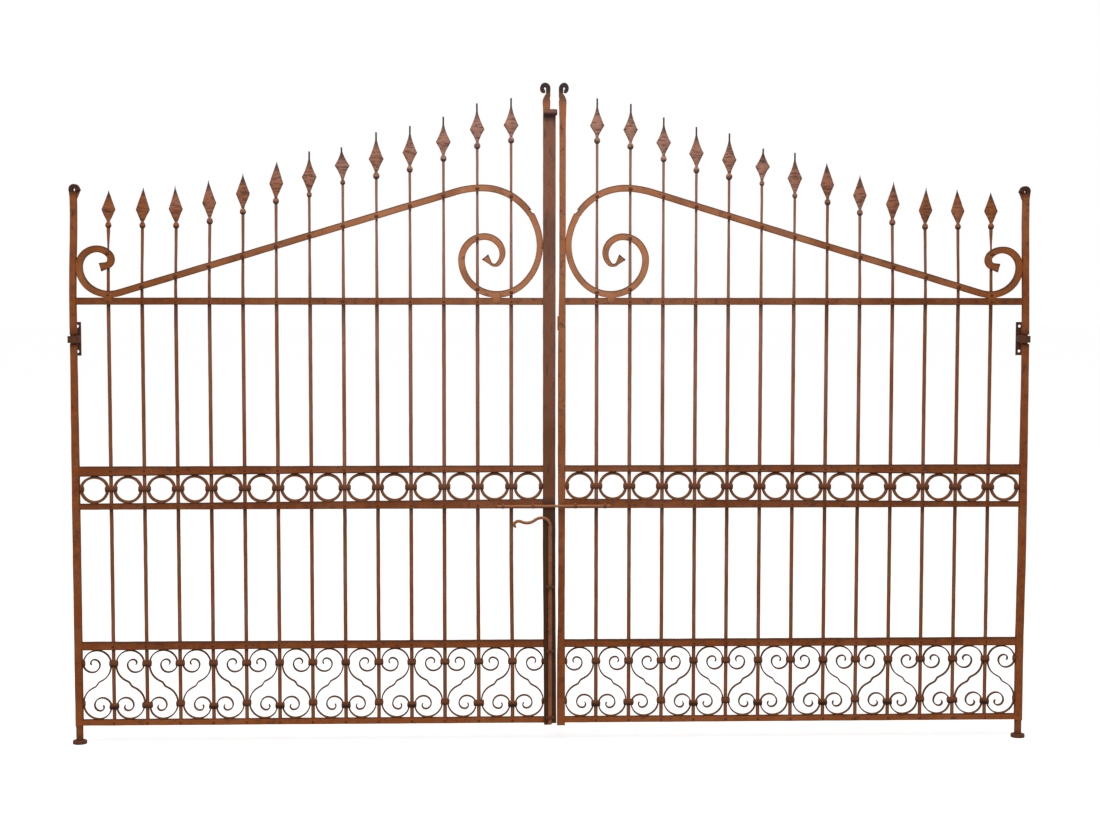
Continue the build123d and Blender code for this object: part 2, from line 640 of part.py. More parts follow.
def leaf_nodes():
    """Every node that both leaves have, drawn for the left leaf."""
    heads = zip(BARS_U, BALL_HEIGHTS, SHOULDER_RISES, TIP_RISES)
    return {
        "hanging_stile": [hanging_stile()],
        "meeting_stile": [meeting_stile()],
        "stile_strap": [stile_strap()],
        "top_rail": [rail(TOP_RAIL_Z, TOP_RAIL_H)],
        "ring_top_rail": [rail(RING_TOP_RAIL_Z, RING_TOP_RAIL_H)],
        "ring_low_rail": [rail(RING_LOW_RAIL_Z, RING_LOW_RAIL_H)],
        "scroll_rail": [rail(SCROLL_RAIL_Z, SCROLL_RAIL_H)],
        "bottom_rail": [rail(BOTTOM_RAIL_Z, BOTTOM_RAIL_H)],
        "bars": [bar(u, z) for u, z in zip(BARS_U, BALL_HEIGHTS)],
        "spear_heads": [spear_head(*place) for place in heads],
        "crest_scroll": [crest_scroll()],
        "rings": [ring(bay) for bay in range(len(BAY_EDGES))],
        "ring_collars": ring_collars(),
        "s_scrolls": [s_scroll(bay) for bay in range(len(BAY_EDGES))],
        "scroll_collars": scroll_collars(),
        "rod_staples": [rod_staple(offset) for offset in ROD_STAPLES],
    }


def solids_of(pieces):
    found = []
    for piece in pieces:
        found += piece.solids()
    return found


def on_right(solid):
    """The mirror image of a left leaf's solid, about the middle of the gate."""
    return mirror(solid, about=Plane((PIVOT_SPACING / 2, 0, 0), x_dir=(0, 1, 0), z_dir=(1, 0, 0)))


nodes = {}
for name, pieces in leaf_nodes().items():
    solids = solids_of(pieces)
    nodes["left_" + name] = solids
    nodes["right_" + name] = solids_of([on_right(solid) for solid in solids])

left_rod = closing_rod(ROD_MEET_X - ROD_END_GAP)
right_rod = closing_rod(PIVOT_SPACING - ROD_MEET_X - ROD_END_GAP)
nodes["left_closing_rod"] = solids_of([left_rod])
nodes["right_closing_rod"] = solids_of([on_right(right_rod)])
nodes["slam_bar"] = solids_of([slam_bar()])
nodes["slam_stop"] = solids_of([slam_stop()])
nodes["bolt_staples"] = solids_of([bolt_staple(z) for z in BOLT_STAPLES_Z])
nodes["drop_bolt"] = solids_of([drop_bolt()])
nodes["left_floor_socket"] = solids_of([floor_socket()])
nodes["right_floor_socket"] = solids_of([on_right(solid) for solid in nodes["left_floor_socket"]])
nodes["left_collar_bracket"] = solids_of([collar_bracket()])
nodes["right_collar_bracket"] = solids_of([on_right(solid) for solid in nodes["left_collar_bracket"]])

for name, solids in nodes.items():
    shape = solids[0] if len(solids) == 1 else Compound(children=solids)
    export_step(shape, "parts/" + name + ".step")
    print(name, len(solids), "solids")
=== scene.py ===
# %% [markdown]
# # A pair of wrought iron driveway gate leaves
# Each leaf is a ladder of square rails with round bars punched through them, a band of rings,
# a band of S-scrolls and a long crest scroll that climbs to the meeting stile. A smith made all
# of it hot, so nothing is quite straight and every edge is a little rounded. The CAD frame gives
# each piece its place and size. This lesson gives each piece its forged shape and rusty skin.

# %% Load the frame
import json
from math import copysign, cos, hypot, pi, radians, sin

import bmesh
import bpy
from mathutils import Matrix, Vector, noise
from mathutils.bvhtree import BVHTree
from mathutils.geometry import delaunay_2d_cdt


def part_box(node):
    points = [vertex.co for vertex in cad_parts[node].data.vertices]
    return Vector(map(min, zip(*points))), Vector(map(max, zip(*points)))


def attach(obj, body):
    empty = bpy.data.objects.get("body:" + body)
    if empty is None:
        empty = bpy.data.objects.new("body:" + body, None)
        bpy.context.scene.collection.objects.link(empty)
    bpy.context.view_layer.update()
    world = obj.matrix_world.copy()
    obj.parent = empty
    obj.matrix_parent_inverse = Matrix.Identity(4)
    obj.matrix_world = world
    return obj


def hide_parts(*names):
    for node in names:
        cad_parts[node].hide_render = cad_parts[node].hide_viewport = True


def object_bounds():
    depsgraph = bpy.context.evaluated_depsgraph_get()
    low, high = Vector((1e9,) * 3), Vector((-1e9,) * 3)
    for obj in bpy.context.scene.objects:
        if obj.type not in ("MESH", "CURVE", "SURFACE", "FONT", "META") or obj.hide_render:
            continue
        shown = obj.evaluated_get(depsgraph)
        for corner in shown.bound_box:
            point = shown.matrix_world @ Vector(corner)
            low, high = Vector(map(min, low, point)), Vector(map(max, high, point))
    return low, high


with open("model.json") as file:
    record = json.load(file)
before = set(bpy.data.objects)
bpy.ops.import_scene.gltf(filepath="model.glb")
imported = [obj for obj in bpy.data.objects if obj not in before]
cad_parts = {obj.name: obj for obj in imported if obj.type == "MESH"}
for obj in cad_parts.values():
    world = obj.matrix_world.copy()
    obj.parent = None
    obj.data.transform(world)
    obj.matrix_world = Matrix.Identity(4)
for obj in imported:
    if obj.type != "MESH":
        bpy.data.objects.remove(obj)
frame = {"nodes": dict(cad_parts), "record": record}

# Without a seed of its own the noise starts from the clock, and the dents move at each run.
HAMMER_SEED = 7
noise.seed_set(HAMMER_SEED)

cad_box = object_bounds()
MM = 0.001
SIDES = ("left", "right")
TO_MIDDLE = {"left": 1, "right": -1}
print("CAD box", [round(v, 3) for corner in cad_box for v in corner])

# %% [markdown]
# ## The camera
# The gate is seen from straight in front, a little left of its middle, from about 7 m away at
# head height. A long lens keeps the bars parallel. The aim is given as the eye's place and two
# small turns, which is easier to set than a target point.

# %% The camera
SENSOR_MM = 36.0
LENS_MM = 64.46
EYE_MM = (1446.0, -7000.0, 1676.0)
AIM_DOWN = 4.002
AIM_RIGHT = 1.923
ROLL = -0.048

camera_data = bpy.data.cameras.new("gate_camera")
camera_data.lens = LENS_MM
camera_data.sensor_width = SENSOR_MM
camera = bpy.data.objects.new("gate_camera", camera_data)
camera.location = Vector(EYE_MM) * MM
camera.rotation_euler = (radians(90 - AIM_DOWN), radians(ROLL), radians(-AIM_RIGHT))
bpy.context.scene.collection.objects.link(camera)
bpy.context.scene.camera = camera
bpy.context.scene.view_settings.view_transform = "Standard"
print("camera at", EYE_MM)

# %% [markdown]
# ## Adding nodes and colours
# A shader is a small graph. One function adds a node with its settings and its links, so each
# finish reads as a short list. Colours are written as the hex values that a screen shows, and
# one function turns them to the linear light that the renderer works in.


# %% Helpers for shaders
def linear(hex_colour):
    """A screen colour such as "8a4a2a" as linear light with full alpha."""
    parts = [int(hex_colour[k:k + 2], 16) / 255 for k in (0, 2, 4)]
    return [c / 12.92 if c <= 0.04045 else ((c + 0.055) / 1.055) ** 2.4 for c in parts] + [1.0]


def add(tree, kind, settings=None, **inputs):
    """One node: settings are its properties, inputs are values or (node, output) links."""
    made = tree.nodes.new(kind)
    for name, value in (settings or {}).items():
        setattr(made, name, value)
    for name, value in inputs.items():
        index = int(name[1:]) if name[1:].isdigit() else name.replace("_", " ")
        socket = made.inputs[index]
        if isinstance(value, tuple) and isinstance(value[0], bpy.types.Node):
            tree.links.new(value[0].outputs[value[1]], socket)
        else:
            socket.default_value = value
    return made


# %% [markdown]
# ## The studio
# A plain pale floor and a white surround, with one wide lamp in front and above. The lamp and
# the surround are weak enough for a colour to come out about as it is written. The white behind
# the gate is only what the camera and reflections see, so it adds no light to the iron.


# %% The studio
def seen_directly(tree):
    """1 for what the camera or a reflection sees, 0 for the light that falls on things."""
    path = add(tree, "ShaderNodeLightPath")
    return add(tree, "ShaderNodeMath", {"operation": "MAXIMUM"},
               i0=(path, "Is Camera Ray"), i1=(path, "Is Glossy Ray"))


FLOOR_HALF_M = 60.0
FLOOR_GLOW = 0.72
KEY_SIZE_M = 5.0
KEY_PLACE = Vector((0.9, -3.6, 7.0))
KEY_WATTS = 330.0
SKY_STRENGTH = 0.55

floor_mesh = bpy.data.meshes.new("floor")
corners = [(-1, -1), (1, -1), (1, 1), (-1, 1)]
floor_mesh.from_pydata([(x * FLOOR_HALF_M, y * FLOOR_HALF_M, 0) for x, y in corners], [], [(0, 1, 2, 3)])
floor = bpy.data.objects.new("floor", floor_mesh)
bpy.context.scene.collection.objects.link(floor)

paint = bpy.data.materials.new("pale studio floor")
paint.use_nodes = True
tree = paint.node_tree
tree.nodes.clear()
plain = add(tree, "ShaderNodeBsdfDiffuse", Color=linear("c4c2bf"))
glow = add(tree, "ShaderNodeEmission", Color=linear("ffffff"), Strength=FLOOR_GLOW)
lifted = add(tree, "ShaderNodeAddShader", i0=(plain, 0), i1=(glow, 0))
mix = add(tree, "ShaderNodeMixShader", i0=(seen_directly(tree), 0), i1=(plain, 0), i2=(lifted, 0))
add(tree, "ShaderNodeOutputMaterial", Surface=(mix, 0))
floor.data.materials.append(paint)

world = bpy.data.worlds.new("white surround")
world.use_nodes = True
tree = world.node_tree
tree.nodes.clear()
sky = add(tree, "ShaderNodeBackground", Color=linear("f4f6fa"), Strength=SKY_STRENGTH)
white = add(tree, "ShaderNodeBackground", Color=linear("ffffff"), Strength=1.0)
mix = add(tree, "ShaderNodeMixShader", i0=(seen_directly(tree), 0), i1=(sky, 0), i2=(white, 0))
add(tree, "ShaderNodeOutputWorld", Surface=(mix, 0))
bpy.context.scene.world = world

key_data = bpy.data.lights.new("soft key", "AREA")
key_data.shape = "SQUARE"
key_data.size = KEY_SIZE_M
key_data.energy = KEY_WATTS
key = bpy.data.objects.new("soft key", key_data)
key.location = KEY_PLACE
aim = (cad_box[0] + cad_box[1]) / 2 - KEY_PLACE
key.rotation_euler = aim.to_track_quat("-Z", "Y").to_euler()
bpy.context.scene.collection.objects.link(key)
print("key lamp", KEY_WATTS, "W")

# %% [markdown]
# ## Rusted wrought iron
# The real metal is puddled wrought iron, forged hot and left to rust outdoors: a matt orange
# brown skin with dark scale where the hammer closed the surface, and paler bloom near the top of
# the middle, where rain dries fast. Near the ground, splashed water keeps the rust fresh and
# orange. Wide patches, finger-sized blotches and fine pits are three noises at their real sizes.
# The pits are drawn twice as coarse as real ones or more, so that they show. Three small helpers
# come first: they turn a size to a noise scale, squeeze a value and mix two colours.


# %% Helpers for the rust
def per_metre(size_mm):
    """Noise scale for features of about that size."""
    return 1000.0 / size_mm


def mapped(tree, source, low, high, to_low=0.0, to_high=1.0):
    """A value squeezed between two limits."""
    return add(tree, "ShaderNodeMapRange", {"clamp": True}, Value=source, i1=low, i2=high,
               i3=to_low, i4=to_high)


def blend(tree, share, first, second):
    """Two colours mixed by a share."""
    return add(tree, "ShaderNodeMix", {"data_type": "RGBA"}, i0=share, i6=first, i7=second)


print("a blotch of 22 mm has a noise scale of", round(per_metre(22), 1))

# %% [markdown]
# ## The rust skin
# The skin is built up as it grew. Rust turns to pale bloom where rain dries fast, and layers lie
# over it: fresh rust, closed scale, pits. Faces that look up can be made darker, and on some
# finishes they are painted paler, as a highlight from the light above. Last, the points of a
# piece can ask for dark scale and for painted shade with a value named dark, as dark scale at a
# knob and a painted shadow under a rail. Rusted iron has no bare metal left to shine, so the
# surface stays non-metallic and rough.

# %% The rust skin
# Dark scale is brown, and greyer near the bloom. The same colours paint the shade that the
# points ask for.
DARK_SCALE_AND_SHADE_FAR = "26160d"
DARK_SCALE_AND_SHADE_NEAR = "302928"
# The pale bloom: its middle, near the top of the meeting stiles, how far from there it is full,
# and where it ends.
BLOOM_CENTRE_M = (1.69, 0.0, 2.05)
BLOOM_NEAR_M = 0.3
BLOOM_FAR_M = 1.6
# Heights over which a finish turns to its high or low colour, and to fresh rust at the ground.
HIGH_M = (1.5, 1.9)
LOW_M = (1.7, 0.7)
LOW_SHARE = 0.6
SPLASH_M = (0.17, 0.06)
SPLASH_SHARE = 0.4
PATCH_SHARE = 0.28
FRESH_SHARE = 0.55
CLOSED_SHARE = 0.75
SPECULAR = 0.22


def rusted_iron(name, rust, bloom, scale, fresh, patch_mm=170, blotch_mm=22, pit_mm=3.2,
                dark_share=0.44, dark_span=0.16, speck_share=0.5, rough=0.86, pit_depth_mm=0.35,
                facet_mm=0.9, stretch=(1.0, 1.0, 1.0), top_dark=0.0, top_painted_highlight=0.0,
                high_bloom=0.0, low=None):
    """Forged iron with a rust skin: rust and its pale bloom, dark scale and fresh orange rust."""
    made = bpy.data.materials.new(name)
    made.use_nodes = True
    tree = made.node_tree
    tree.nodes.clear()
    spot = (add(tree, "ShaderNodeTexCoord"), "Object")
    height = (add(tree, "ShaderNodeSeparateXYZ", Vector=spot), "Z")
    normal = (add(tree, "ShaderNodeNewGeometry"), "Normal")
    upward = (add(tree, "ShaderNodeSeparateXYZ", Vector=normal), "Z")
    away = add(tree, "ShaderNodeVectorMath", {"operation": "DISTANCE"}, i0=spot, i1=BLOOM_CENTRE_M)
    patches = add(tree, "ShaderNodeTexNoise", Vector=spot, Scale=per_metre(patch_mm), Detail=3.0)
    struck = add(tree, "ShaderNodeVectorMath", {"operation": "MULTIPLY"}, i0=spot, i1=stretch)
    blotches = add(tree, "ShaderNodeTexNoise", Vector=(struck, "Vector"), Scale=per_metre(blotch_mm),
                   Detail=6.0, Roughness=0.65)
    pits = add(tree, "ShaderNodeTexNoise", Vector=spot, Scale=per_metre(pit_mm), Detail=3.0,
               Roughness=0.6)

    # Rust turns to bloom near the bloom's middle and high up, in uneven patches.
    near = mapped(tree, (away, "Value"), BLOOM_FAR_M, BLOOM_NEAR_M)
    above = mapped(tree, height, *HIGH_M, 0.0, high_bloom)
    rained = add(tree, "ShaderNodeMath", {"operation": "MAXIMUM"}, i0=(near, 0), i1=(above, 0))
    patchy = mapped(tree, (patches, 0), 0.34, 0.66, -PATCH_SHARE, PATCH_SHARE)
    share = add(tree, "ShaderNodeMath", {"operation": "ADD", "use_clamp": True},
                i0=(rained, 0), i1=(patchy, 0))
    skin = blend(tree, (share, 0), linear(rust), linear(bloom))

    # Layers over it: the low colour, splashes, fresh blotches, closed scale, dark pits, and a
    # highlight painted on the faces that look up.
    layers = [(mapped(tree, height, *LOW_M, 0.0, LOW_SHARE), low)] if low else []
    layers += [(mapped(tree, height, *SPLASH_M, 0.0, SPLASH_SHARE), fresh),
               (mapped(tree, (blotches, 0), 0.52, 0.72, 0.0, FRESH_SHARE), fresh),
               (mapped(tree, (blotches, 0), dark_share, dark_share - dark_span, 0.0, CLOSED_SHARE), scale),
               (mapped(tree, (pits, 0), 0.48, 0.32, 0.0, speck_share), scale),
               (mapped(tree, upward, 0.0, 0.5, 0.0, top_painted_highlight), fresh)]
    for share, colour in layers:
        skin = blend(tree, (share, 0), (skin, 2), linear(colour))

    # Faces that look up are made darker, and dark scale and painted shade go where the points say so.
    shade = blend(tree, (near, 0), linear(DARK_SCALE_AND_SHADE_FAR), linear(DARK_SCALE_AND_SHADE_NEAR))
    darker_up = mapped(tree, upward, 0.25, 0.8, 0.0, top_dark)
    skin = blend(tree, (darker_up, 0), (skin, 2), (shade, 2))
    dark_by_point = add(tree, "ShaderNodeAttribute", {"attribute_name": "dark"})
    skin = blend(tree, (dark_by_point, "Fac"), (skin, 2), (shade, 2))

    sheen = mapped(tree, (blotches, 0), 0.3, 0.6, rough - 0.16, rough + 0.06)
    facets = add(tree, "ShaderNodeBump", Strength=0.6, Distance=facet_mm * MM, Height=(blotches, 0))
    relief = add(tree, "ShaderNodeBump", Strength=0.8, Distance=pit_depth_mm * MM,
                 Height=(pits, 0), Normal=(facets, 0))
    surface = add(tree, "ShaderNodeBsdfPrincipled", Base_Color=(skin, 2), Roughness=(sheen, 0),
                  Normal=(relief, 0), Specular_IOR_Level=SPECULAR)
    add(tree, "ShaderNodeOutputMaterial", Surface=(surface, 0))
    return made


print("bloom round", BLOOM_CENTRE_M)

# %% [markdown]
# ## The finishes
# All of the gate is the same iron, but each kind of piece was forged, rubbed and wetted in its
# own way. A finish gives its rust, bloom, scale and fresh rust as the colours that a screen
# shows. The thin strips are dark, the heads are rough from the hammer, the bolt is worn by
# hands and has a highlight painted along its top, and the hanging gear is greasy and dark.

# %% The finishes
IRON = {
    "frame_iron": rusted_iron("rusted wrought iron frame", "87461d", "a96a45", "482719", "b0622b",
                              dark_share=0.465, speck_share=0.35, top_dark=0.5, high_bloom=0.3),
    "round_bar": rusted_iron("rusted drawn iron bar", "844b28", "a3715d", "55331f", "9c5e34",
                             blotch_mm=38, pit_mm=9.0, speck_share=0.06, dark_share=0.38, facet_mm=0.3),
    "forged_heads": rusted_iron("rusted forged iron heads", "94542b", "b18371", "432b23", "b66530",
                                blotch_mm=13, pit_mm=5.0, speck_share=0.4, dark_share=0.5,
                                rough=0.8, pit_depth_mm=1.2, facet_mm=2.0, stretch=(0.35, 1.0, 2.4),
                                dark_span=0.08),
    "ring_iron": rusted_iron("rusted forged iron rings", "7c4a29", "8a5833", "45291a", "955d33"),
    "collars": rusted_iron("rusted iron collars", "744226", "805036", "38221a", "88512e",
                           dark_share=0.46),
    "scroll_strip": rusted_iron("rusted thin iron strip", "643f22", "745034", "3a2816", "80502b",
                                blotch_mm=16),
    "slam_iron": rusted_iron("dark rusted iron slam bar", "65402a", "8c5c48", "3b261e", "84482c",
                             patch_mm=240, dark_share=0.46, speck_share=0.3, top_dark=0.4,
                             stretch=(1.8, 1.0, 0.3), low="6b3b1b"),
    # The bolt's faces that look up are painted in its fresh rust colour, as a highlight from the light
    # above.
    "bolt_iron": rusted_iron("worn iron bolt with a painted top highlight", "8b5638", "96654a", "3c2a22", "b47140", rough=0.7,
                             top_painted_highlight=0.6),
    "scroll_bar": rusted_iron("rusted wrought iron crest scroll", "8e5026", "ba7c57", "50301d",
                              "bb692c", blotch_mm=34, dark_share=0.43, speck_share=0.4, top_dark=0.6),
    "hanging_gear": rusted_iron("dark iron hanging gear", "5a3423", "6b4230", "33221b", "704027"),
}
SLOT_OF = {part["node"]: part["material_slot"] for part in frame["record"]["subparts"]}
for name, node in frame["nodes"].items():
    node.data.materials.clear()
    node.data.materials.append(IRON[SLOT_OF[name]])
print(len(IRON), "finishes on", len(SLOT_OF), "nodes")

# %% [markdown]
# ## Reading the CAD pieces
# Every visible piece takes its place from the CAD solid that it stands for. A node can hold many
# solids, such as thirteen bars, so one helper merges a copy of its mesh and others part it into
# solids and give each one's box.


# %% Helpers that read the CAD
MERGE_M = 1e-6


def merged_copy(node):
    """A bmesh copy of a CAD node with its loose triangles joined."""
    copy = bmesh.new()
    copy.from_mesh(frame["nodes"][node].data)
    bmesh.ops.remove_doubles(copy, verts=copy.verts, dist=MERGE_M)
    copy.normal_update()
    return copy


def connected(faces):
    """Groups of faces that hang together. They are dictionaries, which keep their order."""
    left, groups = dict.fromkeys(faces), []
    while left:
        stack = [left.popitem()[0]]
        group = dict.fromkeys(stack)
        while stack:
            for edge in stack.pop().edges:
                for other in edge.link_faces:
                    if other in left:
                        del left[other]
                        group[other] = None
                        stack.append(other)
        groups.append(group)
    return groups


def boxes_of(node):
    """Lowest and highest corner of each solid in a node, from left to right and low to high."""
    copy = merged_copy(node)
    found = []
    for group in connected(copy.faces):
        points = [v.co for face in group for v in face.verts]
        low = Vector([min(p[k] for p in points) for k in range(3)])
        high = Vector([max(p[k] for p in points) for k in range(3)])
        found.append((low, high))
    copy.free()
    return sorted(found, key=lambda box: (round(box[0].x, 4), box[0].z))


bars_left = boxes_of("left_bars")
print(len(bars_left), "bars on a leaf, the first at x =", round(sum(c.x for c in bars_left[0]) / 2, 3))

# %% [markdown]
# ## Front outlines
# The outline that the smith bent or cut is read from a solid's flat front faces: one helper
# finds them by their normals and walks round their edges. A round part has no wide flat face, so
# it is left out here and turned later.


# %% Front outlines
FRONT_NORMAL_Y = -0.999
FACET_MM = 8.0


def front_outlines(node):
    """Each flat front face of a node: its depth, and its edge loops as (x, z) points.

    A face as narrow as a facet of a round part is left out.
    """
    copy = merged_copy(node)
    regions = []
    for group in connected([f for f in copy.faces if f.normal.y < FRONT_NORMAL_Y]):
        following = {}
        for face in group:
            for corner in face.loops:
                if not any(other in group for other in corner.edge.link_faces if other is not face):
                    following[corner.vert] = corner.link_loop_next.vert
        depth = next(iter(group)).verts[0].co.y
        loops = []
        while following:
            first, here = following.popitem()
            loop = [first]
            while here is not first:
                loop.append(here)
                here = following.pop(here)
            loops.append([(v.co.x, v.co.z) for v in loop])
        loops.sort(key=lambda loop: max(x for x, z in loop) - min(x for x, z in loop), reverse=True)
        xs = [x for x, z in loops[0]]
        if max(xs) - min(xs) > FACET_MM * MM:
            regions.append((depth, loops))
    copy.free()
    return regions


print("left top rail's outline has", len(front_outlines("left_top_rail")[0][1][0]), "corners")

# %% [markdown]
# ## The uneven gate
# A hand-made gate is never quite square. Its leaves carry a few shifts of some millimetres that
# go on smoothly from piece to piece, so one function gives each point its shifted place, and
# each new piece is passed through it. Pieces that touch then still touch.


# %% The uneven gate
def ramp(value, low, high):
    """0 below low, 1 above high, smooth between."""
    t = min(1.0, max(0.0, (value - low) / (high - low)))
    return t * t * (3 - 2 * t)


def band(value, rise, fall):
    """0 below the first span, 1 between the two and 0 above the last, smooth over both."""
    return ramp(value, *rise) * (1 - ramp(value, *fall))


# Round the meeting stiles the smith set everything a little to the right: how far, round which
# place, and over which distances from it that fades out.
OFFSET_MM = 4.3
OFFSET_MIDDLE_M = 1.85
OFFSET_REACH_M = (0.15, 0.65)
# The left leaf's last bays lean a little further low down, up to the face of its meeting stile.
LOW_OFFSET_MM = 4.5
LOW_OFFSET_X_M = (1.25, 1.6)
LOW_OFFSET_Z_M = (0.2, 0.7)
LEFT_STILE_FACE_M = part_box("left_bottom_rail")[1].x + 0.5 * MM
MEETING_X_M = (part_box("left_bottom_rail")[1].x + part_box("right_bottom_rail")[0].x) / 2
# The row of rings rises towards the middle of the gate: mm up at the hanging and at the meeting
# stile, in full between its two rails and not at all beyond their middles.
RING_RISE_MM = {"left": (-3.2, 3.6), "right": (-4.2, 4.6)}
low_rail, top_rail = (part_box("left_" + name) for name in ("ring_low_rail", "ring_top_rail"))
RING_LOW_M = ((low_rail[0].z + low_rail[1].z) / 2, low_rail[1].z)
RING_HIGH_M = (top_rail[0].z, (top_rail[0].z + top_rail[1].z) / 2)
RING_START_X_M = low_rail[0].x


def offset(p):
    """A point's place on the uneven gate."""
    x, y, z = p
    share = 1 - ramp(abs(x - OFFSET_MIDDLE_M), *OFFSET_REACH_M)
    low = ramp(x, *LOW_OFFSET_X_M) * (1 - ramp(z, *LOW_OFFSET_Z_M)) * (x < LEFT_STILE_FACE_M)
    hanging, meeting = RING_RISE_MM["left" if x < MEETING_X_M else "right"]
    rise = meeting + (hanging - meeting) * abs(x - MEETING_X_M) / (MEETING_X_M - RING_START_X_M)
    inside = band(z, RING_LOW_M, RING_HIGH_M)
    return Vector((x + (OFFSET_MM * share + LOW_OFFSET_MM * low) * MM, y, z + rise * inside * MM))


print("rings rise from", RING_RISE_MM["left"][0], "to", RING_RISE_MM["left"][1], "mm on the left leaf")

# %% [markdown]
# ## New pieces
# A new piece is a mesh on an object at the origin. Its points can carry the value named dark,
# worked out from where each point was drawn.


# %% New pieces
def placed(name, mesh, body, slot, replaces=()):
    """A mesh as an object at the origin that rides on a body and stands for CAD nodes."""
    piece = bpy.data.objects.new(name, mesh)
    bpy.context.scene.collection.objects.link(piece)
    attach(piece, body)
    if replaces:
        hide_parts(*replaces)
    return piece


def new_piece(name, verts, faces, body, slot, replaces=(), dark=None, edges=()):
    """A piece from points and faces, with its finish.

    Its dark scale and painted shade are a function of the point, and at least the value in the
    list of edges, which holds one for each of the first points.
    """
    mesh = bpy.data.meshes.new(name)
    mesh.from_pydata([offset(v) for v in verts], [], faces)
    if dark:
        shade = mesh.attributes.new("dark", "FLOAT", "POINT")
        for k, v in enumerate(verts):
            least = edges[k] if k < len(edges) else 0.0
            shade.data[k].value = max(least, dark(Vector(v)))
    mesh.validate()
    for polygon in mesh.polygons:
        polygon.use_smooth = True
    mesh.materials.append(IRON[slot])
    return placed(name, mesh, body, slot, replaces)


print("finish slots", sorted(set(SLOT_OF.values())))

# %% [markdown]
# ## Forged flat pieces
# Rails, stiles, rings and scrolls are all bar with flat faces and edges that the hammer and the
# rust have rounded. A bevel could round a clean mesh, but CAD triangles make it pinch. So each
# outline is drawn again in a few layers from front to back: the outer layers are set in by the
# edge radius, the middle ones aren't. A little noise moves the outline about half a millimetre.


# %% Outlines
HAMMER_MM = 0.55
HAMMER_LENGTH_MM = 55.0
SHORTEST_MM = 0.05


def hammered(point, amount_mm=HAMMER_MM, length_mm=HAMMER_LENGTH_MM):
    """How far the hammer moved a point."""
    return noise.noise_vector(point * per_metre(length_mm)) * amount_mm * MM


def resampled(loop, step):
    """A loop of points with its long straights divided."""
    points = []
    for (x, z), (x_next, z_next) in zip(loop, loop[1:] + loop[:1]):
        length = hypot(x_next - x, z_next - z)
        if length < SHORTEST_MM * MM:
            continue
        parts = max(1, round(length / step))
        points += [(x + (x_next - x) * k / parts, z + (z_next - z) * k / parts) for k in range(parts)]
    return points


def each_point(loops, moved, step_mm=None):
    """The outlines with each point moved, and first divided where a step is given."""
    if step_mm:
        loops = [resampled(loop, step_mm * MM) for loop in loops]
    return [[moved(x, z) for x, z in loop] for loop in loops]


print("the hammer moves a point by up to", HAMMER_MM, "mm")

# %% [markdown]
# ## Filling an outline
# An outline is filled with triangles by a constrained Delaunay triangulation, which keeps the
# given edges. It also fills holes, so triangles whose middle isn't in the metal are left out.


# %% Filling an outline
def inward(loop):
    """The mitred direction into the metal at each point of a loop."""
    found = []
    for k, (x, z) in enumerate(loop):
        before, after = loop[k - 1], loop[(k + 1) % len(loop)]
        n1 = Vector((-(z - before[1]), x - before[0])).normalized()
        n2 = Vector((-(after[1] - z), after[0] - x)).normalized()
        found.append((n1 + n2) / max(0.5, 1 + n1.dot(n2)))
    return found


def within(x, z, loops):
    """True for a point inside the outline and outside its holes."""
    crossed = 0
    for loop in loops:
        for (x1, z1), (x2, z2) in zip(loop, loop[1:] + loop[:1]):
            if (z1 > z) != (z2 > z) and x < x1 + (x2 - x1) * (z - z1) / (z2 - z1):
                crossed += 1
    return crossed % 2 == 1


def filled(loops):
    """Triangles that fill an outline, as numbers of its points."""
    points = [Vector(p) for loop in loops for p in loop]
    edges, start = [], 0
    for loop in loops:
        edges += [(start + k, start + (k + 1) % len(loop)) for k in range(len(loop))]
        start += len(loop)
    made = delaunay_2d_cdt(points, edges, [], 1, 1e-7)
    triangles = []
    for face in made[2]:
        corners = [made[3][index][0] for index in face]
        middle = sum((points[k] for k in corners), Vector((0, 0))) / len(corners)
        if within(middle.x, middle.y, loops):
            triangles.append(corners)
    return triangles


print("inside a square:", within(0.5, 0.5, [[(0, 0), (1, 0), (1, 1), (0, 1)]]))

# %% [markdown]
# ## Slabs
# A slab is the outline in layers, with a cap of triangles in front and at the back. The upper
# edges of a rail are darker than its face, and its lower edges carry painted shade. So the slab
# also says how much each point looks up or down, and a border inside the cap keeps that darkness
# narrow.


# %% Slabs
STEP_MM = 14.0
# Each layer's depth from the face and its inset from the outline, as shares of the edge radius.
EDGE_STEPS = ((0.0, 1.0), (0.3, 0.29), (1.0, 0.0))
EDGE_BAND_MM = 2.6
UPWARD_GAIN = 1.6


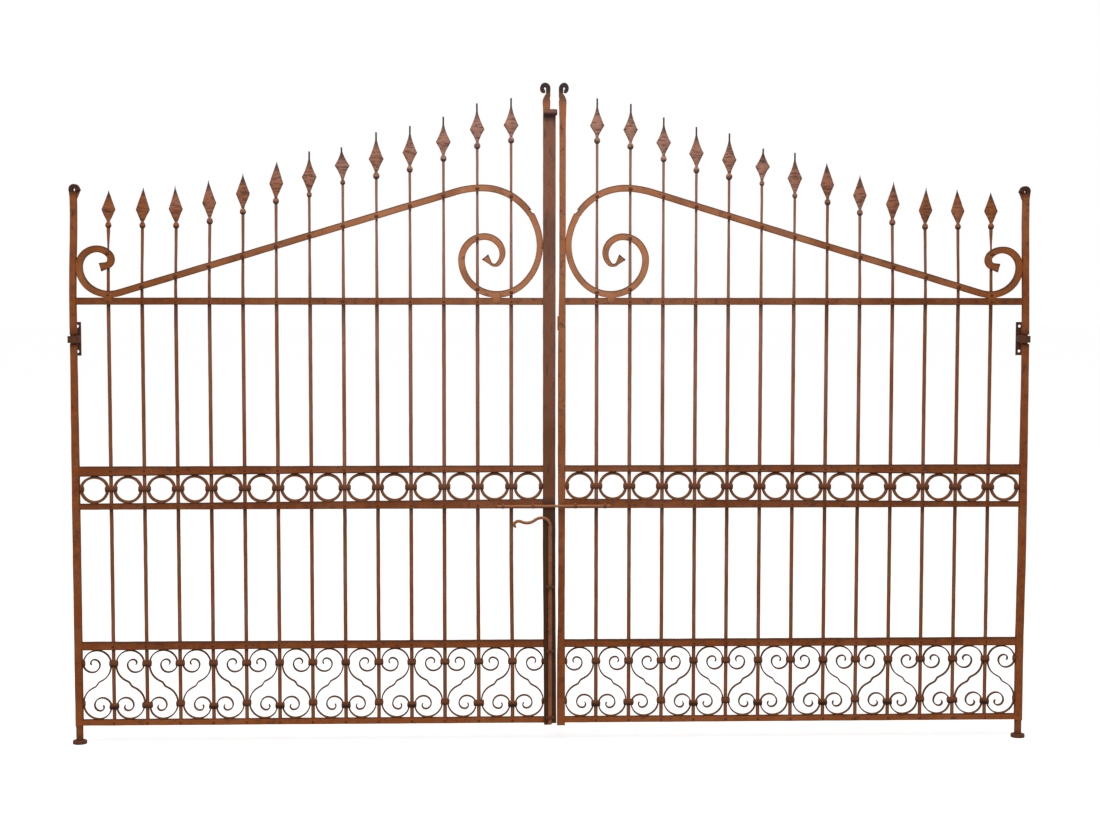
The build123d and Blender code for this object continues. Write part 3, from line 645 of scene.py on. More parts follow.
def slab(front, back, loops, radius, swell=None, band_mm=0.0, upward=None):
    """Vertices and faces of a flat piece between two depths, with rounded edges.

    The metal can swell beyond its outline, by millimetres that depend on the height. With a band,
    each cap has a border of that width, and the list upward gets, for each vertex, how much an
    edge faces up (negative where it faces down).
    """
    layers = [(front + t * radius, inset * radius) for t, inset in EDGE_STEPS]
    if band_mm:
        layers = [(front, radius + band_mm * MM)] + layers
    layers += [(front + back - y, inset) for y, inset in reversed(layers)]
    loops = [resampled(loop, STEP_MM * MM) for loop in loops]
    sides = [inward(loop) for loop in loops]
    verts, faces = [], []
    for y, inset in layers:
        for loop, side in zip(loops, sides):
            for (x, z), n in zip(loop, side):
                shift = hammered(Vector((x, 0, z)))
                if swell:
                    shift -= Vector((n.x, 0, n.y)) * swell(z) * MM
                verts.append(Vector((x + n.x * inset + shift.x, y, z + n.y * inset + shift.z)))
                if upward is not None:
                    up = min(1.0, max(-1.0, -UPWARD_GAIN * n.y))
                    upward.append(0.0 if inset > radius else up)
    count = sum(len(loop) for loop in loops)
    start = 0
    for loop in loops:
        size = len(loop)
        for level in range(len(layers) - 1):
            for k in range(size):
                a, b = level * count + start + k, level * count + start + (k + 1) % size
                faces.append((a, a + count, b + count, b))
        start += size
    last = (len(layers) - 1) * count
    for triangle in filled(loops):
        i, j, k = triangle
        normal = (verts[j] - verts[i]).cross(verts[k] - verts[i])
        front_face = (i, j, k) if normal.y < 0 else (k, j, i)
        faces.append(front_face)
        faces.append(tuple(last + index for index in reversed(front_face)))
    return verts, faces


def joined(parts):
    """Several vertex and face lists as one."""
    verts, faces = [], []
    for more_verts, more_faces in parts:
        base = len(verts)
        verts += more_verts
        faces += [tuple(base + k for k in face) for face in more_faces]
    return verts, faces


print("a slab has", 2 * len(EDGE_STEPS), "layers")

# %% [markdown]
# ## The forged look of a flat node
# One function takes a CAD node's outlines, lets the smith move their points and swell their
# metal, and puts the slabs in the node's place. The rounded edges are shaded smooth and the caps
# flat, so that a face stays a face. Turned parts can join it in the same mesh.


# %% The forged look of a flat node
def forged_flat(node, body, radius_mm, more=(), dark=None, reshape=None, swell=None,
                upper_edge=0.0, lower_edge_shade=0.0):
    """The forged look of a flat CAD node. More parts, such as turned ones, can join it.

    With an upper_edge, the edges that face up carry that much dark scale. With a
    lower_edge_shade, the edges that face down carry that much painted shade.
    """
    low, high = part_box(node)
    parts, upward = [], []
    for depth, loops in front_outlines(node):
        loops = reshape(loops) if reshape else loops
        parts.append(slab(depth, low.y + high.y - depth, loops, radius_mm * MM, swell=swell,
                          band_mm=EDGE_BAND_MM if upper_edge else 0.0, upward=upward))
    flat_faces = sum(len(part[1]) for part in parts)
    verts, faces = joined(parts + list(more))
    # Edges that face down carry painted shade, and edges that face up carry dark scale.
    edges = [upper_edge * max(0.0, value) + lower_edge_shade * max(0.0, -value) for value in upward]
    piece = new_piece(node + "_forged", verts, faces, body, SLOT_OF[node], [node], dark, edges)
    for polygon in piece.data.polygons[:flat_faces]:
        polygon.use_smooth = len(polygon.vertices) == 4
    return piece


print("caps and edges with a border of", EDGE_BAND_MM, "mm where an edge is dark")

# %% [markdown]
# ## Rails, rings and S-scrolls
# The rails are square bar, and the rings and S-scrolls are bent from thinner strip. The upper
# rail of each band grows a little deeper towards the hanging stile and presses down the tops of
# what is under it. The low rail of the rings grows deeper towards the meeting stile. A rail's
# ends run into the stiles as tenons. The top edges are darkest. The lower edges, and the tops
# of the rings under a rail, carry painted shade.

# %% Sizes of the rails, rings and S-scrolls
HANGING_SIDES_X = (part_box("left_hanging_stile")[0].x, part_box("right_hanging_stile")[1].x)
DEEPER_REACH_M = 0.83
DIVIDED_MM = 30.0
# A node whose points move down at the hanging stile: at which depth below its top, in mm, that
# starts and is full, and by how much they move there.
MOVED_MM = {"ring_top_rail": (10.0, 16.0, 6.0), "rings": (44.0, 0.0, 6.0),
            "scroll_rail": (10.0, 16.0, 2.5), "s_scrolls": (70.0, 0.0, 2.5)}
NOT_MOVED_MM = (1.0, 0.0, 0.0)
# The low ring rail is deeper: by how much at the meeting stile, upwards, and down all along.
LOW_RAIL_UP_MM = 5.2
LOW_RAIL_DOWN_MM = 1.3
LOW_RAIL_CURVE = 1.5
TENON_MM = 5.0
TENON_FROM_MM = 2.0
# A flat node's edge radius in mm, its share of dark scale low down, high up and on its upper
# edges, and its share of painted shade on its lower edges. For the rings the share high up is
# painted shade, only where they meet the rail above.
FLAT_NODES = {"top_rail": (2.6, 0.14, 0.28, 0.55, 0.3), "ring_top_rail": (2.6, 0.08, 0.26, 0.6, 0.75),
              "ring_low_rail": (2.4, 0.12, 0.3, 0.55, 0.2), "scroll_rail": (2.6, 0.0, 0.22, 0.55, 0.35),
              "bottom_rail": (2.4, 0.0, 0.0, 0.0, 0.0), "rings": (2.2, 0.0, 0.75, 0.0, 0.0),
              "s_scrolls": (1.3, 0.0, 0.15, 0.0, 0.0)}
RING_SHADE_MM = 16.0
print("edge radius of each flat node", {name: sizes[0] for name, sizes in FLAT_NODES.items()})

# %% [markdown]
# ## Drawing the flat nodes
# A function moves the points of an outline as the smith left them. Then one loop makes every
# flat node of both leaves from it.


# %% The flat nodes of both leaves
def from_hanging(x):
    """How far a place is from the outer side of the nearer hanging stile."""
    return min(x - HANGING_SIDES_X[0], HANGING_SIDES_X[1] - x)


def hanging_share(x):
    """1 at the hanging stile, falling to 0 at mid leaf."""
    return max(0.0, 1 - from_hanging(x) / DEEPER_REACH_M)


def uneven(name, loops, low, high):
    """The outlines of a flat node in its box, as unevenly as the smith drew it."""
    from_mm, to_mm, down_mm = MOVED_MM.get(name, NOT_MOVED_MM)
    from_z, to_z = high.z - from_mm * MM, high.z - to_mm * MM

    def run_on(x, z):
        """A rail's ends run on into the stiles."""
        end = (x > high.x - TENON_FROM_MM * MM) - (x < low.x + TENON_FROM_MM * MM)
        return x + TENON_MM * MM * end, z

    def deeper(x, z):
        """The low ring rail's upper edge higher towards the meeting stile, its lower edge lower."""
        up = LOW_RAIL_UP_MM * max(0.0, from_hanging(x) / (2 * DEEPER_REACH_M)) ** LOW_RAIL_CURVE
        return x, z + (up if z > (low.z + high.z) / 2 else -LOW_RAIL_DOWN_MM) * MM

    def lower(x, z):
        """Points between two heights moved down at the hanging stile."""
        share = min(1.0, max(0.0, (z - from_z) / (to_z - from_z)))
        return x, z - down_mm * MM * hanging_share(x) * share

    if name.endswith("rail"):
        loops = each_point(loops, run_on)
    return each_point(loops, deeper if name == "ring_low_rail" else lower, DIVIDED_MM)


for side in SIDES:
    for name, (radius, dark_low, dark_high, upper_edge, lower_edge_shade) in FLAT_NODES.items():
        low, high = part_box(side + "_" + name)
        # The rings' painted shade starts this far below their tops, and a rail's darkening runs over its
        # whole height.
        dark_from = high.z - RING_SHADE_MM * MM if name == "rings" else low.z
        forged_flat(side + "_" + name, side + "_leaf", radius,
                    dark=lambda p: dark_low + (dark_high - dark_low) * ramp(p.z, dark_from, high.z),
                    reshape=lambda loops: uneven(name, loops, low, high),
                    upper_edge=upper_edge, lower_edge_shade=lower_edge_shade)
print(len(FLAT_NODES), "kinds of flat piece on each leaf")

# %% [markdown]
# ## The slam bar
# The slam bar is a long flat bar riveted to the left meeting stile, over a part of the gap
# between the leaves. Its top runs into a rolled stop, and its foot has been knocked a little
# towards the other leaf. It is darkest below the closing rod and where hands pull the leaf, and
# a shadow is painted on it under the stop.

# %% The slam bar
SLAM_TOP_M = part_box("slam_bar")[1].z
SLAM_EDGE_MM = 1.6
SLAM_INTO_STOP_MM = 5.0
SLAM_TIP_MM = 3.0
SLAM_BEND_MM = 4.6
SLAM_BEND_FROM_M = 0.66
SLAM_DIVIDED_MM = 40.0
SLAM_DARK_M = (0.86, 0.88)
# The painted shadow under the stop: where it starts and where it is full.
SLAM_SHADOW_M = (SLAM_TOP_M - 16 * MM, SLAM_TOP_M - 6 * MM)
# The place that hands have worn: its middle, and from and to which distance the wear fades.
SLAM_WORN_M = (1.79, 0.05, 0.13)


def slam_moved(x, z):
    """The slam bar run on into its stop, and bent towards the other leaf low down."""
    return (x + SLAM_BEND_MM * MM * max(0.0, 1 - z / SLAM_BEND_FROM_M),
            z + SLAM_INTO_STOP_MM * MM * (z > SLAM_TOP_M - SLAM_TIP_MM * MM))


def slam_scale_and_shadow(p):
    """Dark below the closing rod and in the band where hands pull the leaf, and a painted shadow under the
    stop.
    """
    below = 0.6 * (1 - ramp(p.z, *SLAM_DARK_M))
    under_stop = 0.8 * ramp(p.z, *SLAM_SHADOW_M)
    by_hands = 0.3 * (1 - ramp(abs(p.z - SLAM_WORN_M[0]), *SLAM_WORN_M[1:]))
    return max(below, under_stop, by_hands)


forged_flat("slam_bar", "left_leaf", SLAM_EDGE_MM, dark=slam_scale_and_shadow,
            reshape=lambda loops: each_point(loops, slam_moved, SLAM_DIVIDED_MM))
print("slam bar up to", round(SLAM_TOP_M, 3), "m")

# %% [markdown]
# ## Turned pieces
# Pins, bars, rods and balls are round. They are turned: rings of points stacked up a profile,
# with a little noise. A piece that lies along the gate is turned upright and then laid down.
# Above the top rail no rail holds a bar or a stile, so each leans a little towards the middle.


# %% Turned pieces
def stacked(levels, size):
    """Faces of rings of points that are stacked up, closed at both ends."""
    faces = []
    for level in range(levels - 1):
        for k in range(size):
            a, b = level * size + k, level * size + (k + 1) % size
            faces.append((a, b, b + size, a + size))
    faces.append(tuple(range(size))[::-1])
    faces.append(tuple((levels - 1) * size + k for k in range(size)))
    return faces


FINE_RADIUS_MM = 3.0


def turned(x, y, profile, sides=20, rough_mm=0.25, length_mm=18.0):
    """A closed round shape on an upright axis, from (height, radius) pairs."""
    verts = []
    for z, radius in profile:
        for k in range(sides):
            a = 2 * pi * k / sides
            point = Vector((x + radius * cos(a), y + radius * sin(a), z))
            calm = min(1.0, radius / (FINE_RADIUS_MM * MM))
            verts.append(point + hammered(point, rough_mm, length_mm) * calm)
    return verts, stacked(len(profile), sides)


def laid(profile, y, z, **rough):
    """A turned shape that lies along the gate, from (x, radius) pairs."""
    verts, faces = turned(0, 0, profile, **rough)
    return [Vector((v.z, y + v.y, z - v.x)) for v in verts], faces


def below(top, depths_mm):
    """Heights at some depths in mm below a top."""
    return [top - depth * MM for depth in depths_mm]


TOP_RAIL_TOP_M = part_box("left_top_rail")[1].z
LEAF_MIDDLE_X = sum(HANGING_SIDES_X) / 2
LEAN_HEIGHT_M = 0.3


def leaned(x, z, lean_mm):
    """How far a bar has leaned towards the middle of the gate at a height above the top rail."""
    share = ramp(z, TOP_RAIL_TOP_M, TOP_RAIL_TOP_M + LEAN_HEIGHT_M)
    return copysign(lean_mm * MM, LEAF_MIDDLE_X - x) * share


print("bars lean above", round(TOP_RAIL_TOP_M, 3), "m")

# %% [markdown]
# ## The hanging stiles
# A stile is a square bar. The hanging stile turns on a heel pin and in a collar, so it is round
# at those two places, and its top is rolled over into a knob. The flat parts come from the same
# outlines as the rails, and the round parts are turned. The ends went into the fire most often,
# so they carry the darkest scale.

# %% Sizes of the hanging stiles
STILE_EDGE_MM = 2.4
HEEL_PIN_MM = 25.4
HEEL_NOSE_MM = 8.0
ROUND_OVERLAP_MM = 2.0
STILE_DIVIDED_MM = 20.0
# The stiles lean above the top rail, and the right one bows between these heights.
STILE_LEAN_MM = {"left": 7.0, "right": 4.0}
STILE_BOW_MM = {"left": 0.0, "right": 3.6}
STILE_BOW_M = ((0.3, 0.7), (1.38, 1.7))
# They were drawn thinner above mid height, and the journal is a little less thin.
STILE_SLIM_MM = 1.8
STILE_SLIM_M = (0.85, 1.4)
JOURNAL_SLIM_MM = 1.4
# Depths below the knob's top over which its dark scale and its swelling come in.
KNOB_SCALE_MM = (40.0, 24.0)
KNOB_SWELL_MM = 2.2
# Round the journal and above the foot: where the dark scale is full and where it has faded out.
JOURNAL_DARK_MM = (16.0, 45.0)
FOOT_DARK_MM = (12.0, 42.0)
print("heel pin", HEEL_PIN_MM, "mm thick")

# %% [markdown]
# ## The knob's fold
# Where the top was rolled over, the tongue lies back on a seat that was upset from the stile
# itself. The seat is a small slab of its own, set back from the faces.

# %% The knob's fold
# The fold's seat: its inner and outer side from the stile's axis, its depth below the tongue,
# its step at the bottom, its setback from the faces and its edge radius.
SEAT_SIDES_MM = (7.0, 12.6)
SEAT_DEPTH_MM = 29.0
SEAT_STEP_MM = 6.0
SEAT_BACK_MM = 4.0
SEAT_EDGE_MM = 1.2


def fold_seat(side, x_axis, tongue, low, high):
    """The seat that fills the fold under the knob's rolled tongue."""
    to_middle = TO_MIDDLE[side]
    x, z = tongue
    inner, outer = (x_axis + to_middle * size * MM for size in SEAT_SIDES_MM)
    loop = [(inner, z + 1 * MM), (x - to_middle * 1 * MM, z), (x - to_middle * 2 * MM, z - 3 * MM),
            (outer, z - SEAT_DEPTH_MM * MM), (inner, z - (SEAT_DEPTH_MM - SEAT_STEP_MM) * MM)]
    loop = [(x + leaned(x, z, STILE_LEAN_MM[side]), z) for x, z in loop]
    return slab(low.y + SEAT_BACK_MM * MM, high.y - SEAT_BACK_MM * MM,
                [loop[::-1] if side == "left" else loop], SEAT_EDGE_MM * MM)


print("seat", SEAT_DEPTH_MM, "mm deep")

# %% [markdown]
# ## Putting the hanging stiles together
# The CAD stile has two flat lengths with the round journal between them. The ends of those
# lengths tell where the journal and the heel pin go, and each runs a little into the flat parts.
# The pin's nose is rounded, because it turns in its socket.

# %% The hanging stiles
for side in SIDES:
    node = side + "_hanging_stile"
    low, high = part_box(node)
    collar_low, collar_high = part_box(side + "_collar_bracket")
    x_axis = (collar_low.x + collar_high.x) / 2
    outlines = sorted(front_outlines(node), key=lambda item: min(z for x, z in item[1][0]))
    ends = [(min(z for x, z in loops[0]), max(z for x, z in loops[0])) for depth, loops in outlines]
    overlap = ROUND_OVERLAP_MM * MM
    journal_r = high.y - JOURNAL_SLIM_MM * MM
    journal = [(ends[0][1] - overlap, journal_r), (ends[1][0] + overlap, journal_r)]
    journal_z = (ends[0][1] + ends[1][0]) / 2
    pin_r, nose = HEEL_PIN_MM / 2 * MM, HEEL_NOSE_MM * MM
    pin = [(low.z + nose * (1 - cos(a)), pin_r - nose * (1 - sin(a)))
           for a in [radians(10 * k) for k in range(10)]]
    pin += [(ends[0][0] + overlap, pin_r)]
    knob = below(high.z, KNOB_SCALE_MM)
    tongue = max((p for depth, loops in outlines for p in loops[0] if p[1] > knob[1]),
                 key=lambda p: p[0] * TO_MIDDLE[side])

    def bowed(x, z):
        """The stile's lean above the top rail, and its bow below it."""
        bow = STILE_BOW_MM[side] * MM * band(z, *STILE_BOW_M)
        return x + leaned(x, z, STILE_LEAN_MM[side]) + bow, z

    def dark_by_point(p):
        """Dark at the rolled knob, round the journal, where the collar rubs, and on the heel pin."""
        rubbed = 0.6 * (1 - ramp(abs(p.z - journal_z), *(size * MM for size in JOURNAL_DARK_MM)))
        in_socket = 0.65 * (1 - ramp(p.z, *(low.z + size * MM for size in FOOT_DARK_MM)))
        return max(0.85 * ramp(p.z, *knob), rubbed, in_socket)

    forged_flat(node, side + "_leaf", STILE_EDGE_MM, dark=dark_by_point,
                more=[turned(x_axis, 0, journal), turned(x_axis, 0, pin),
                      fold_seat(side, x_axis, tongue, low, high)],
                reshape=lambda loops: each_point(loops, bowed, STILE_DIVIDED_MM),
                swell=lambda z: KNOB_SWELL_MM * ramp(z, *knob) - STILE_SLIM_MM * ramp(z, *STILE_SLIM_M))
    print(side, "hanging stile up to", round(high.z, 3), "m, journal at", round(journal_z, 3), "m")

# %% [markdown]
# ## The meeting stiles
# The meeting stile's top is drawn thin and curled into a crook. The smith forged each one by
# eye, so the two lean, swell and slim differently. Each of those is a small shift that fades in
# and out over a span of heights, and the outline's points are moved by their sum.

# %% The meeting stiles
CROOK_DIVIDED_MM = 6.0
# How far each stile stands to the right at its top, and to the left at its foot.
MEETING_LEAN_MM = {"left": (0.0, -4.5), "right": (2.0, 1.4)}
MEETING_FOOT_M = (0.2, 0.7)
MEETING_TOP_M = (1.35, 1.75)
# How much slimmer each stile is above the top rail, and fuller between the rings and that rail.
MEETING_SLIM_MM = {"left": (0.0, 0.0), "right": (0.9, 1.3)}
FULL_M = ((0.84, 0.9), (1.4, 1.6))
SLIM_FROM_M = (1.5, 1.65)
FOOT_FULL_M = (0.3, 0.42)
FOOT_FULLER = 1.7
# Depths below the crook's top.
CROOK_SCALE_MM = (40.0, 26.0)
NECK_SCALE_MM = (88.0, 44.0)
SHOULDER_MM = (130.0, 105.0)
STEM_MM = (96.0, 66.0)
CURL_MM = (50.0, 40.0)
RISE_MM = ((110.0, 75.0), (52.0, 30.0))
CROOK_SWELL_MM = 1.8
NECK_SWELL_MM = 1.2
# The crook's shoulder is forged higher, and its curl is rolled in beyond the width of its stem.
CROOK_RISE_MM = 10.5
CROOK_STEM_MM = 14.0
CROOK_TUCK = {"left": 0.13, "right": 0.2}

for side in SIDES:
    node = side + "_meeting_stile"
    low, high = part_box(node)
    gap_face = high.x if side == "left" else low.x
    crook, neck, shoulder, stem, curl = (below(high.z, depths) for depths in (
        CROOK_SCALE_MM, NECK_SCALE_MM, SHOULDER_MM, STEM_MM, CURL_MM))
    rise = [below(high.z, depths) for depths in RISE_MM]

    def forged(x, z):
        """A point of the stile with its lean, its tucked curl and its raised shoulder."""
        top, foot = MEETING_LEAN_MM[side]
        lean = (top * ramp(z, *MEETING_TOP_M) - foot * (1 - ramp(z, *MEETING_FOOT_M))) * MM
        out = max(0.0, abs(x - gap_face) - CROOK_STEM_MM * MM)
        tuck = copysign(CROOK_TUCK[side] * ramp(z, *curl) * out, x - gap_face)
        return x - tuck + lean, z + CROOK_RISE_MM * MM * band(z, *rise)

    def fullness(z):
        """How much the stile is fuller than it was drawn, in mm."""
        slim, full = MEETING_SLIM_MM[side]
        swell = CROOK_SWELL_MM * ramp(z, *crook) + NECK_SWELL_MM * band(z, stem, crook)
        foot = full * FOOT_FULLER * (1 - ramp(z, *FOOT_FULL_M))
        return swell + full * band(z, *FULL_M) + foot - slim * band(z, SLIM_FROM_M, shoulder)

    forged_flat(node, side + "_leaf", STILE_EDGE_MM, swell=fullness,
                dark=lambda p: 0.6 * ramp(p.z, *neck) + 0.36 * ramp(p.z, *crook),
                reshape=lambda loops: each_point(loops, forged, CROOK_DIVIDED_MM))
    print(side, "meeting stile up to", round(high.z, 3), "m")

# %% [markdown]
# ## The slam stop
# The stop at the top of the slam bar is rolled from its end, and lies along the gate. Its under
# side carries painted shade, and its right end is dark.

# %% The slam stop
low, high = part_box("slam_stop")
roll_r, roll_z = (high.z - low.z) / 2, (low.z + high.z) / 2
roll = [(low.x, roll_r - 2 * MM), (low.x + 1.5 * MM, roll_r), (high.x - 4 * MM, roll_r),
        (high.x - 1.5 * MM, roll_r - 1.5 * MM), (high.x, roll_r - 4 * MM)]


def stop_shade_and_dark_end(p):
    """Painted shade on the under side, and dark at the right end."""
    under = 0.85 * (1 - ramp(p.z, roll_z - 0.7 * roll_r, roll_z + 0.3 * roll_r))
    return max(under, 0.7 * ramp(p.x, high.x - 6 * MM, high.x - 1 * MM))


new_piece("slam_stop_roll", *laid(roll, (low.y + high.y) / 2, roll_z), "left_leaf",
          SLOT_OF["slam_stop"], ["slam_stop"], stop_shade_and_dark_end)
print("slam stop", round((high.x - low.x) / MM, 1), "mm long")

# %% [markdown]
# ## The small ironwork
# Straps, staples and the drop bolt keep the shape that the CAD gives them. A copy of each mesh
# is merged so that it can be shaded smooth up to sharp edges, and the lower edges of the staples
# are made dark.

# %% The small ironwork
SHARP_FROM_DEGREES = 35
STAPLE_EDGE_MM = 2.0
PLAIN_NODES = {"left_stile_strap": "left_leaf", "right_stile_strap": "right_leaf",
               "left_rod_staples": "left_leaf", "right_rod_staples": "right_leaf",
               "bolt_staples": "left_leaf", "drop_bolt": "drop_bolt"}
for node, body in PLAIN_NODES.items():
    copy = merged_copy(node)
    copy.verts.index_update()
    verts = [v.co.copy() for v in copy.verts]
    faces = [tuple(v.index for v in face.verts) for face in copy.faces]
    copy.free()
    lows = [low.z for low, high in boxes_of(node)] if "staples" in node else []
    piece = new_piece(node + "_iron", verts, faces, body, SLOT_OF[node], [node],
                      lambda p: 0.8 * any(abs(p.z - z) < STAPLE_EDGE_MM * MM for z in lows))
    piece.data.set_sharp_from_angle(angle=radians(SHARP_FROM_DEGREES))
print(len(PLAIN_NODES), "pieces of small ironwork")

# %% [markdown]
# ## The closing rods
# The closing rods lie along the gate too, and slide in their staples. Their worn ends almost
# meet over the gap, and their under sides carry painted shade.

# %% The closing rods
ROD_REACH_MM = 2.6
ROD_STEP_MM = 12.0
ROD_BEVEL_MM = 1.2
# How far up from a rod's under side its painted shade reaches.
ROD_SHADE_MM = 3.0
for side in SIDES:
    low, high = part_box(side + "_closing_rod")
    rod_r, reach = (high.z - low.z) / 2, ROD_REACH_MM * MM
    start, end = (low.x, high.x + reach) if side == "left" else (low.x - reach, high.x)
    steps = round((end - start) / (ROD_STEP_MM * MM))
    rod = [(start + MM + (end - start - 2 * MM) * k / steps, rod_r) for k in range(steps + 1)]
    rod = [(start, rod_r - ROD_BEVEL_MM * MM)] + rod + [(end, rod_r - ROD_BEVEL_MM * MM)]
    lying = laid(rod, (low.y + high.y) / 2, (low.z + high.z) / 2, rough_mm=0.5, length_mm=30.0)
    new_piece(side + "_worn_rod", *lying, side + "_rod", SLOT_OF[side + "_closing_rod"],
              [side + "_closing_rod"], lambda p: 0.5 * (1 - ramp(p.z, low.z, low.z + ROD_SHADE_MM * MM)))
    print(side, "closing rod", round((end - start) / MM), "mm long")

# %% [markdown]
# ## The crest scroll
# The crest scroll is one long bar: a small C-scroll on the hanging side, a straight rake and a
# large volute against the meeting stile. The smith joined it from two lengths, and the scarf of
# that weld has sprung open a little on the outside of the volute. It is drawn as a short wedge
# cut out of the outline. Where the scroll meets the top rail, a thin lug was forged over both.


# %% The crest scroll
CREST_EDGE_MM = 3.0
CREST_PATCH_MM = 90.0
CREST_UPPER_EDGE = 0.6
CREST_DIVIDED_MM = 3.0
CREST_OUT_MM = 2.0
CREST_OUT_SHARES = (0.86, 0.97)
# The sprung weld: its height above the top rail, its length and depth, and the lip below it,
# which ends at this many times its length.
NICK_RISE_MM = 310.0
NICK_LENGTH_MM = 11.0
NICK_DEPTH_MM = 6.0
NICK_LIP_MM = 1.8
NICK_LIP_REACH = 3.5
# How near the outer edge a point has to be, on either side of it, for the weld to move it.
NICK_NEAR_MM = (14.0, 30.0)
NICK_EDGE_MM = 2.0


def with_nick(loops, z_nick, to_middle):
    """The outline with the sprung weld cut into its outer edge, on the meeting stile's side."""
    loop = resampled(loops[0], CREST_DIVIDED_MM * MM)
    edge = [p for p in loop if abs(p[1] - z_nick) < NICK_EDGE_MM * MM]
    if not edge:
        return loops
    x_edge = max(edge, key=lambda p: p[0] * to_middle)[0]
    inside, outside = (size * MM for size in NICK_NEAR_MM)
    cut = []
    for x, z in loop:
        along = (z_nick - z) / (NICK_LENGTH_MM * MM)
        outer = abs(x - x_edge) < outside and (x - x_edge) * to_middle > -inside
        if outer and 0 <= along <= 1:
            x -= to_middle * NICK_DEPTH_MM * MM * (1 - 0.4 * along)
        elif outer and 1 < along < NICK_LIP_REACH:
            x += to_middle * NICK_LIP_MM * MM * (NICK_LIP_REACH - along) / (NICK_LIP_REACH - 1)
        cut.append((x, z))
    return [cut] + loops[1:]


for side in SIDES:
    rail_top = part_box(side + "_top_rail")[1].z
    z_nick = rail_top + NICK_RISE_MM * MM

    def let_out(x, z):
        """The small scroll let out to the slim hanging stile."""
        return x - TO_MIDDLE[side] * CREST_OUT_MM * MM * ramp(hanging_share(x), *CREST_OUT_SHARES), z

    forged_flat(side + "_crest_scroll", side + "_leaf", CREST_EDGE_MM, upper_edge=CREST_UPPER_EDGE,
                reshape=lambda loops: each_point(with_nick(loops, z_nick, TO_MIDDLE[side]), let_out),
                dark=lambda p: 0.22 * ramp(noise.noise(p * per_metre(CREST_PATCH_MM)), 0.0, 0.35))
print("sprung weld at", round(z_nick, 3), "m")

# %% [markdown]
# ## The lugs
# Each lug is a thin slab over the rail and the scroll's lowest stretch, a little proud of both.
# The places are found from the scroll's outline: there is one low stretch on each half.

# %% The lugs
LUG_HALF_MM = 13.5
LUG_FLARE_MM = 25.0
LUG_TAPER_MM = 5.0
LUG_PROUD_MM = 0.6
LUG_EDGE_MM = 1.2
LOW_STRETCH_MM = 1.5


def lug(x, rail, scroll_low):
    """A thin forged lug over a rail and the scroll that rests on it."""
    low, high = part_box(rail)
    half, flare = LUG_HALF_MM * MM, LUG_FLARE_MM * MM
    corners = [(half - LUG_TAPER_MM * MM, low.z + 6 * MM), (half, low.z + 13 * MM), (half, high.z),
               (flare, high.z + 3 * MM), (half, scroll_low + 16 * MM)]
    loop = [(x + out, z) for out, z in corners] + [(x - out, z) for out, z in corners[::-1]]
    proud = LUG_PROUD_MM * MM
    return slab(low.y - proud, high.y + proud, [loop], LUG_EDGE_MM * MM)


for side in SIDES:
    node = side + "_crest_scroll"
    low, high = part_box(node)
    rail_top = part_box(side + "_top_rail")[1].z
    resting = [p for depth, loops in front_outlines(node) for p in loops[0]
               if p[1] < low.z + LOW_STRETCH_MM * MM]
    x_middle = (low.x + high.x) / 2
    spots = [[x for x, z in resting if (x < x_middle) == first] for first in (True, False)]
    lugs = joined([lug(sum(xs) / len(xs), side + "_top_rail", low.z) for xs in spots])
    new_piece(side + "_crest_lugs", *lugs, side + "_leaf", "scroll_bar",
              dark=lambda p: 0.3 * (1 - ramp(p.z, rail_top - 20 * MM, rail_top + 2 * MM)))
    print(side, "lugs at x =", [round(sum(xs) / len(xs), 3) for xs in spots])

# %% [markdown]
# ## The round bars
# The bars were drawn by hand: nearly even up to the top rail, thinner above it, and swelling
# again under the ball. A turned profile does that. Its heights come from the CAD: where the
# crest scroll crosses a bar is found by shooting a ray up the bar through the scroll's mesh.
# The number of a bar counts from the hanging stile.

# %% One round bar
BAR_STEP_MM = 11.0
# Thickness above the top rail, and of each bar's neck above the crest scroll and under the ball.
ABOVE_RAIL_MM = 11.2
NECKS_MM = [(6.6, 13.0)] + 5 * [(10.0, 11.0)] + 7 * [(9.0, 9.6)]
BAR_LEANS_MM = (4, 5, 5, 4.5, 3, 1, 0, 0, 0, 0, 0, 0, 0)
INTO_BALL_MM = 5.0


def crossings(tree, x, y, z_from):
    """Bottom and top of each place where a bar at x passes through the scroll."""
    hits, z = [], z_from
    while True:
        place = tree.ray_cast(Vector((x, y, z)), Vector((0, 0, 1)))[0]
        if place is None:
            return list(zip(hits[::2], hits[1::2]))
        hits.append(place.z)
        z = place.z + 0.05 * MM


def drawn_bar(low, high, number, passes, rail_top):
    """One bar, drawn thinner above the top rail and leaned towards the middle."""
    x, radius = (low.x + high.x) / 2, (high.x - low.x) / 2
    neck_mm, under_mm = NECKS_MM[number]
    z_taper, z_neck = passes[-1][0] if number == 0 else rail_top, passes[-1][1]
    steps = round((high.z - low.z) / (BAR_STEP_MM * MM))
    profile = []
    for k in range(steps + 1):
        z = low.z + (high.z - low.z) * k / steps
        if z < rail_top:
            r = radius
        elif z < z_neck:
            r = (ABOVE_RAIL_MM + (neck_mm - ABOVE_RAIL_MM) * ramp(z, z_taper, z_neck)) / 2 * MM
        else:
            r = (neck_mm + (under_mm - neck_mm) * ramp(z, z_neck, high.z)) / 2 * MM
        profile.append((z, r))
    profile.append((high.z + INTO_BALL_MM * MM, r))
    verts, faces = turned(x, 0, profile, sides=12, rough_mm=0.45, length_mm=45.0)
    return [v + Vector((leaned(x, v.z, BAR_LEANS_MM[number]), 0, 0)) for v in verts], faces


print("necks from", min(NECKS_MM)[0], "mm thick")

# %% [markdown]
# ## All the bars
# A bar carries a painted shadow close under each place where it goes through a rail or the
# scroll. It is also darker in runs of uneven length below the top rail and the low rail of the
# rings.

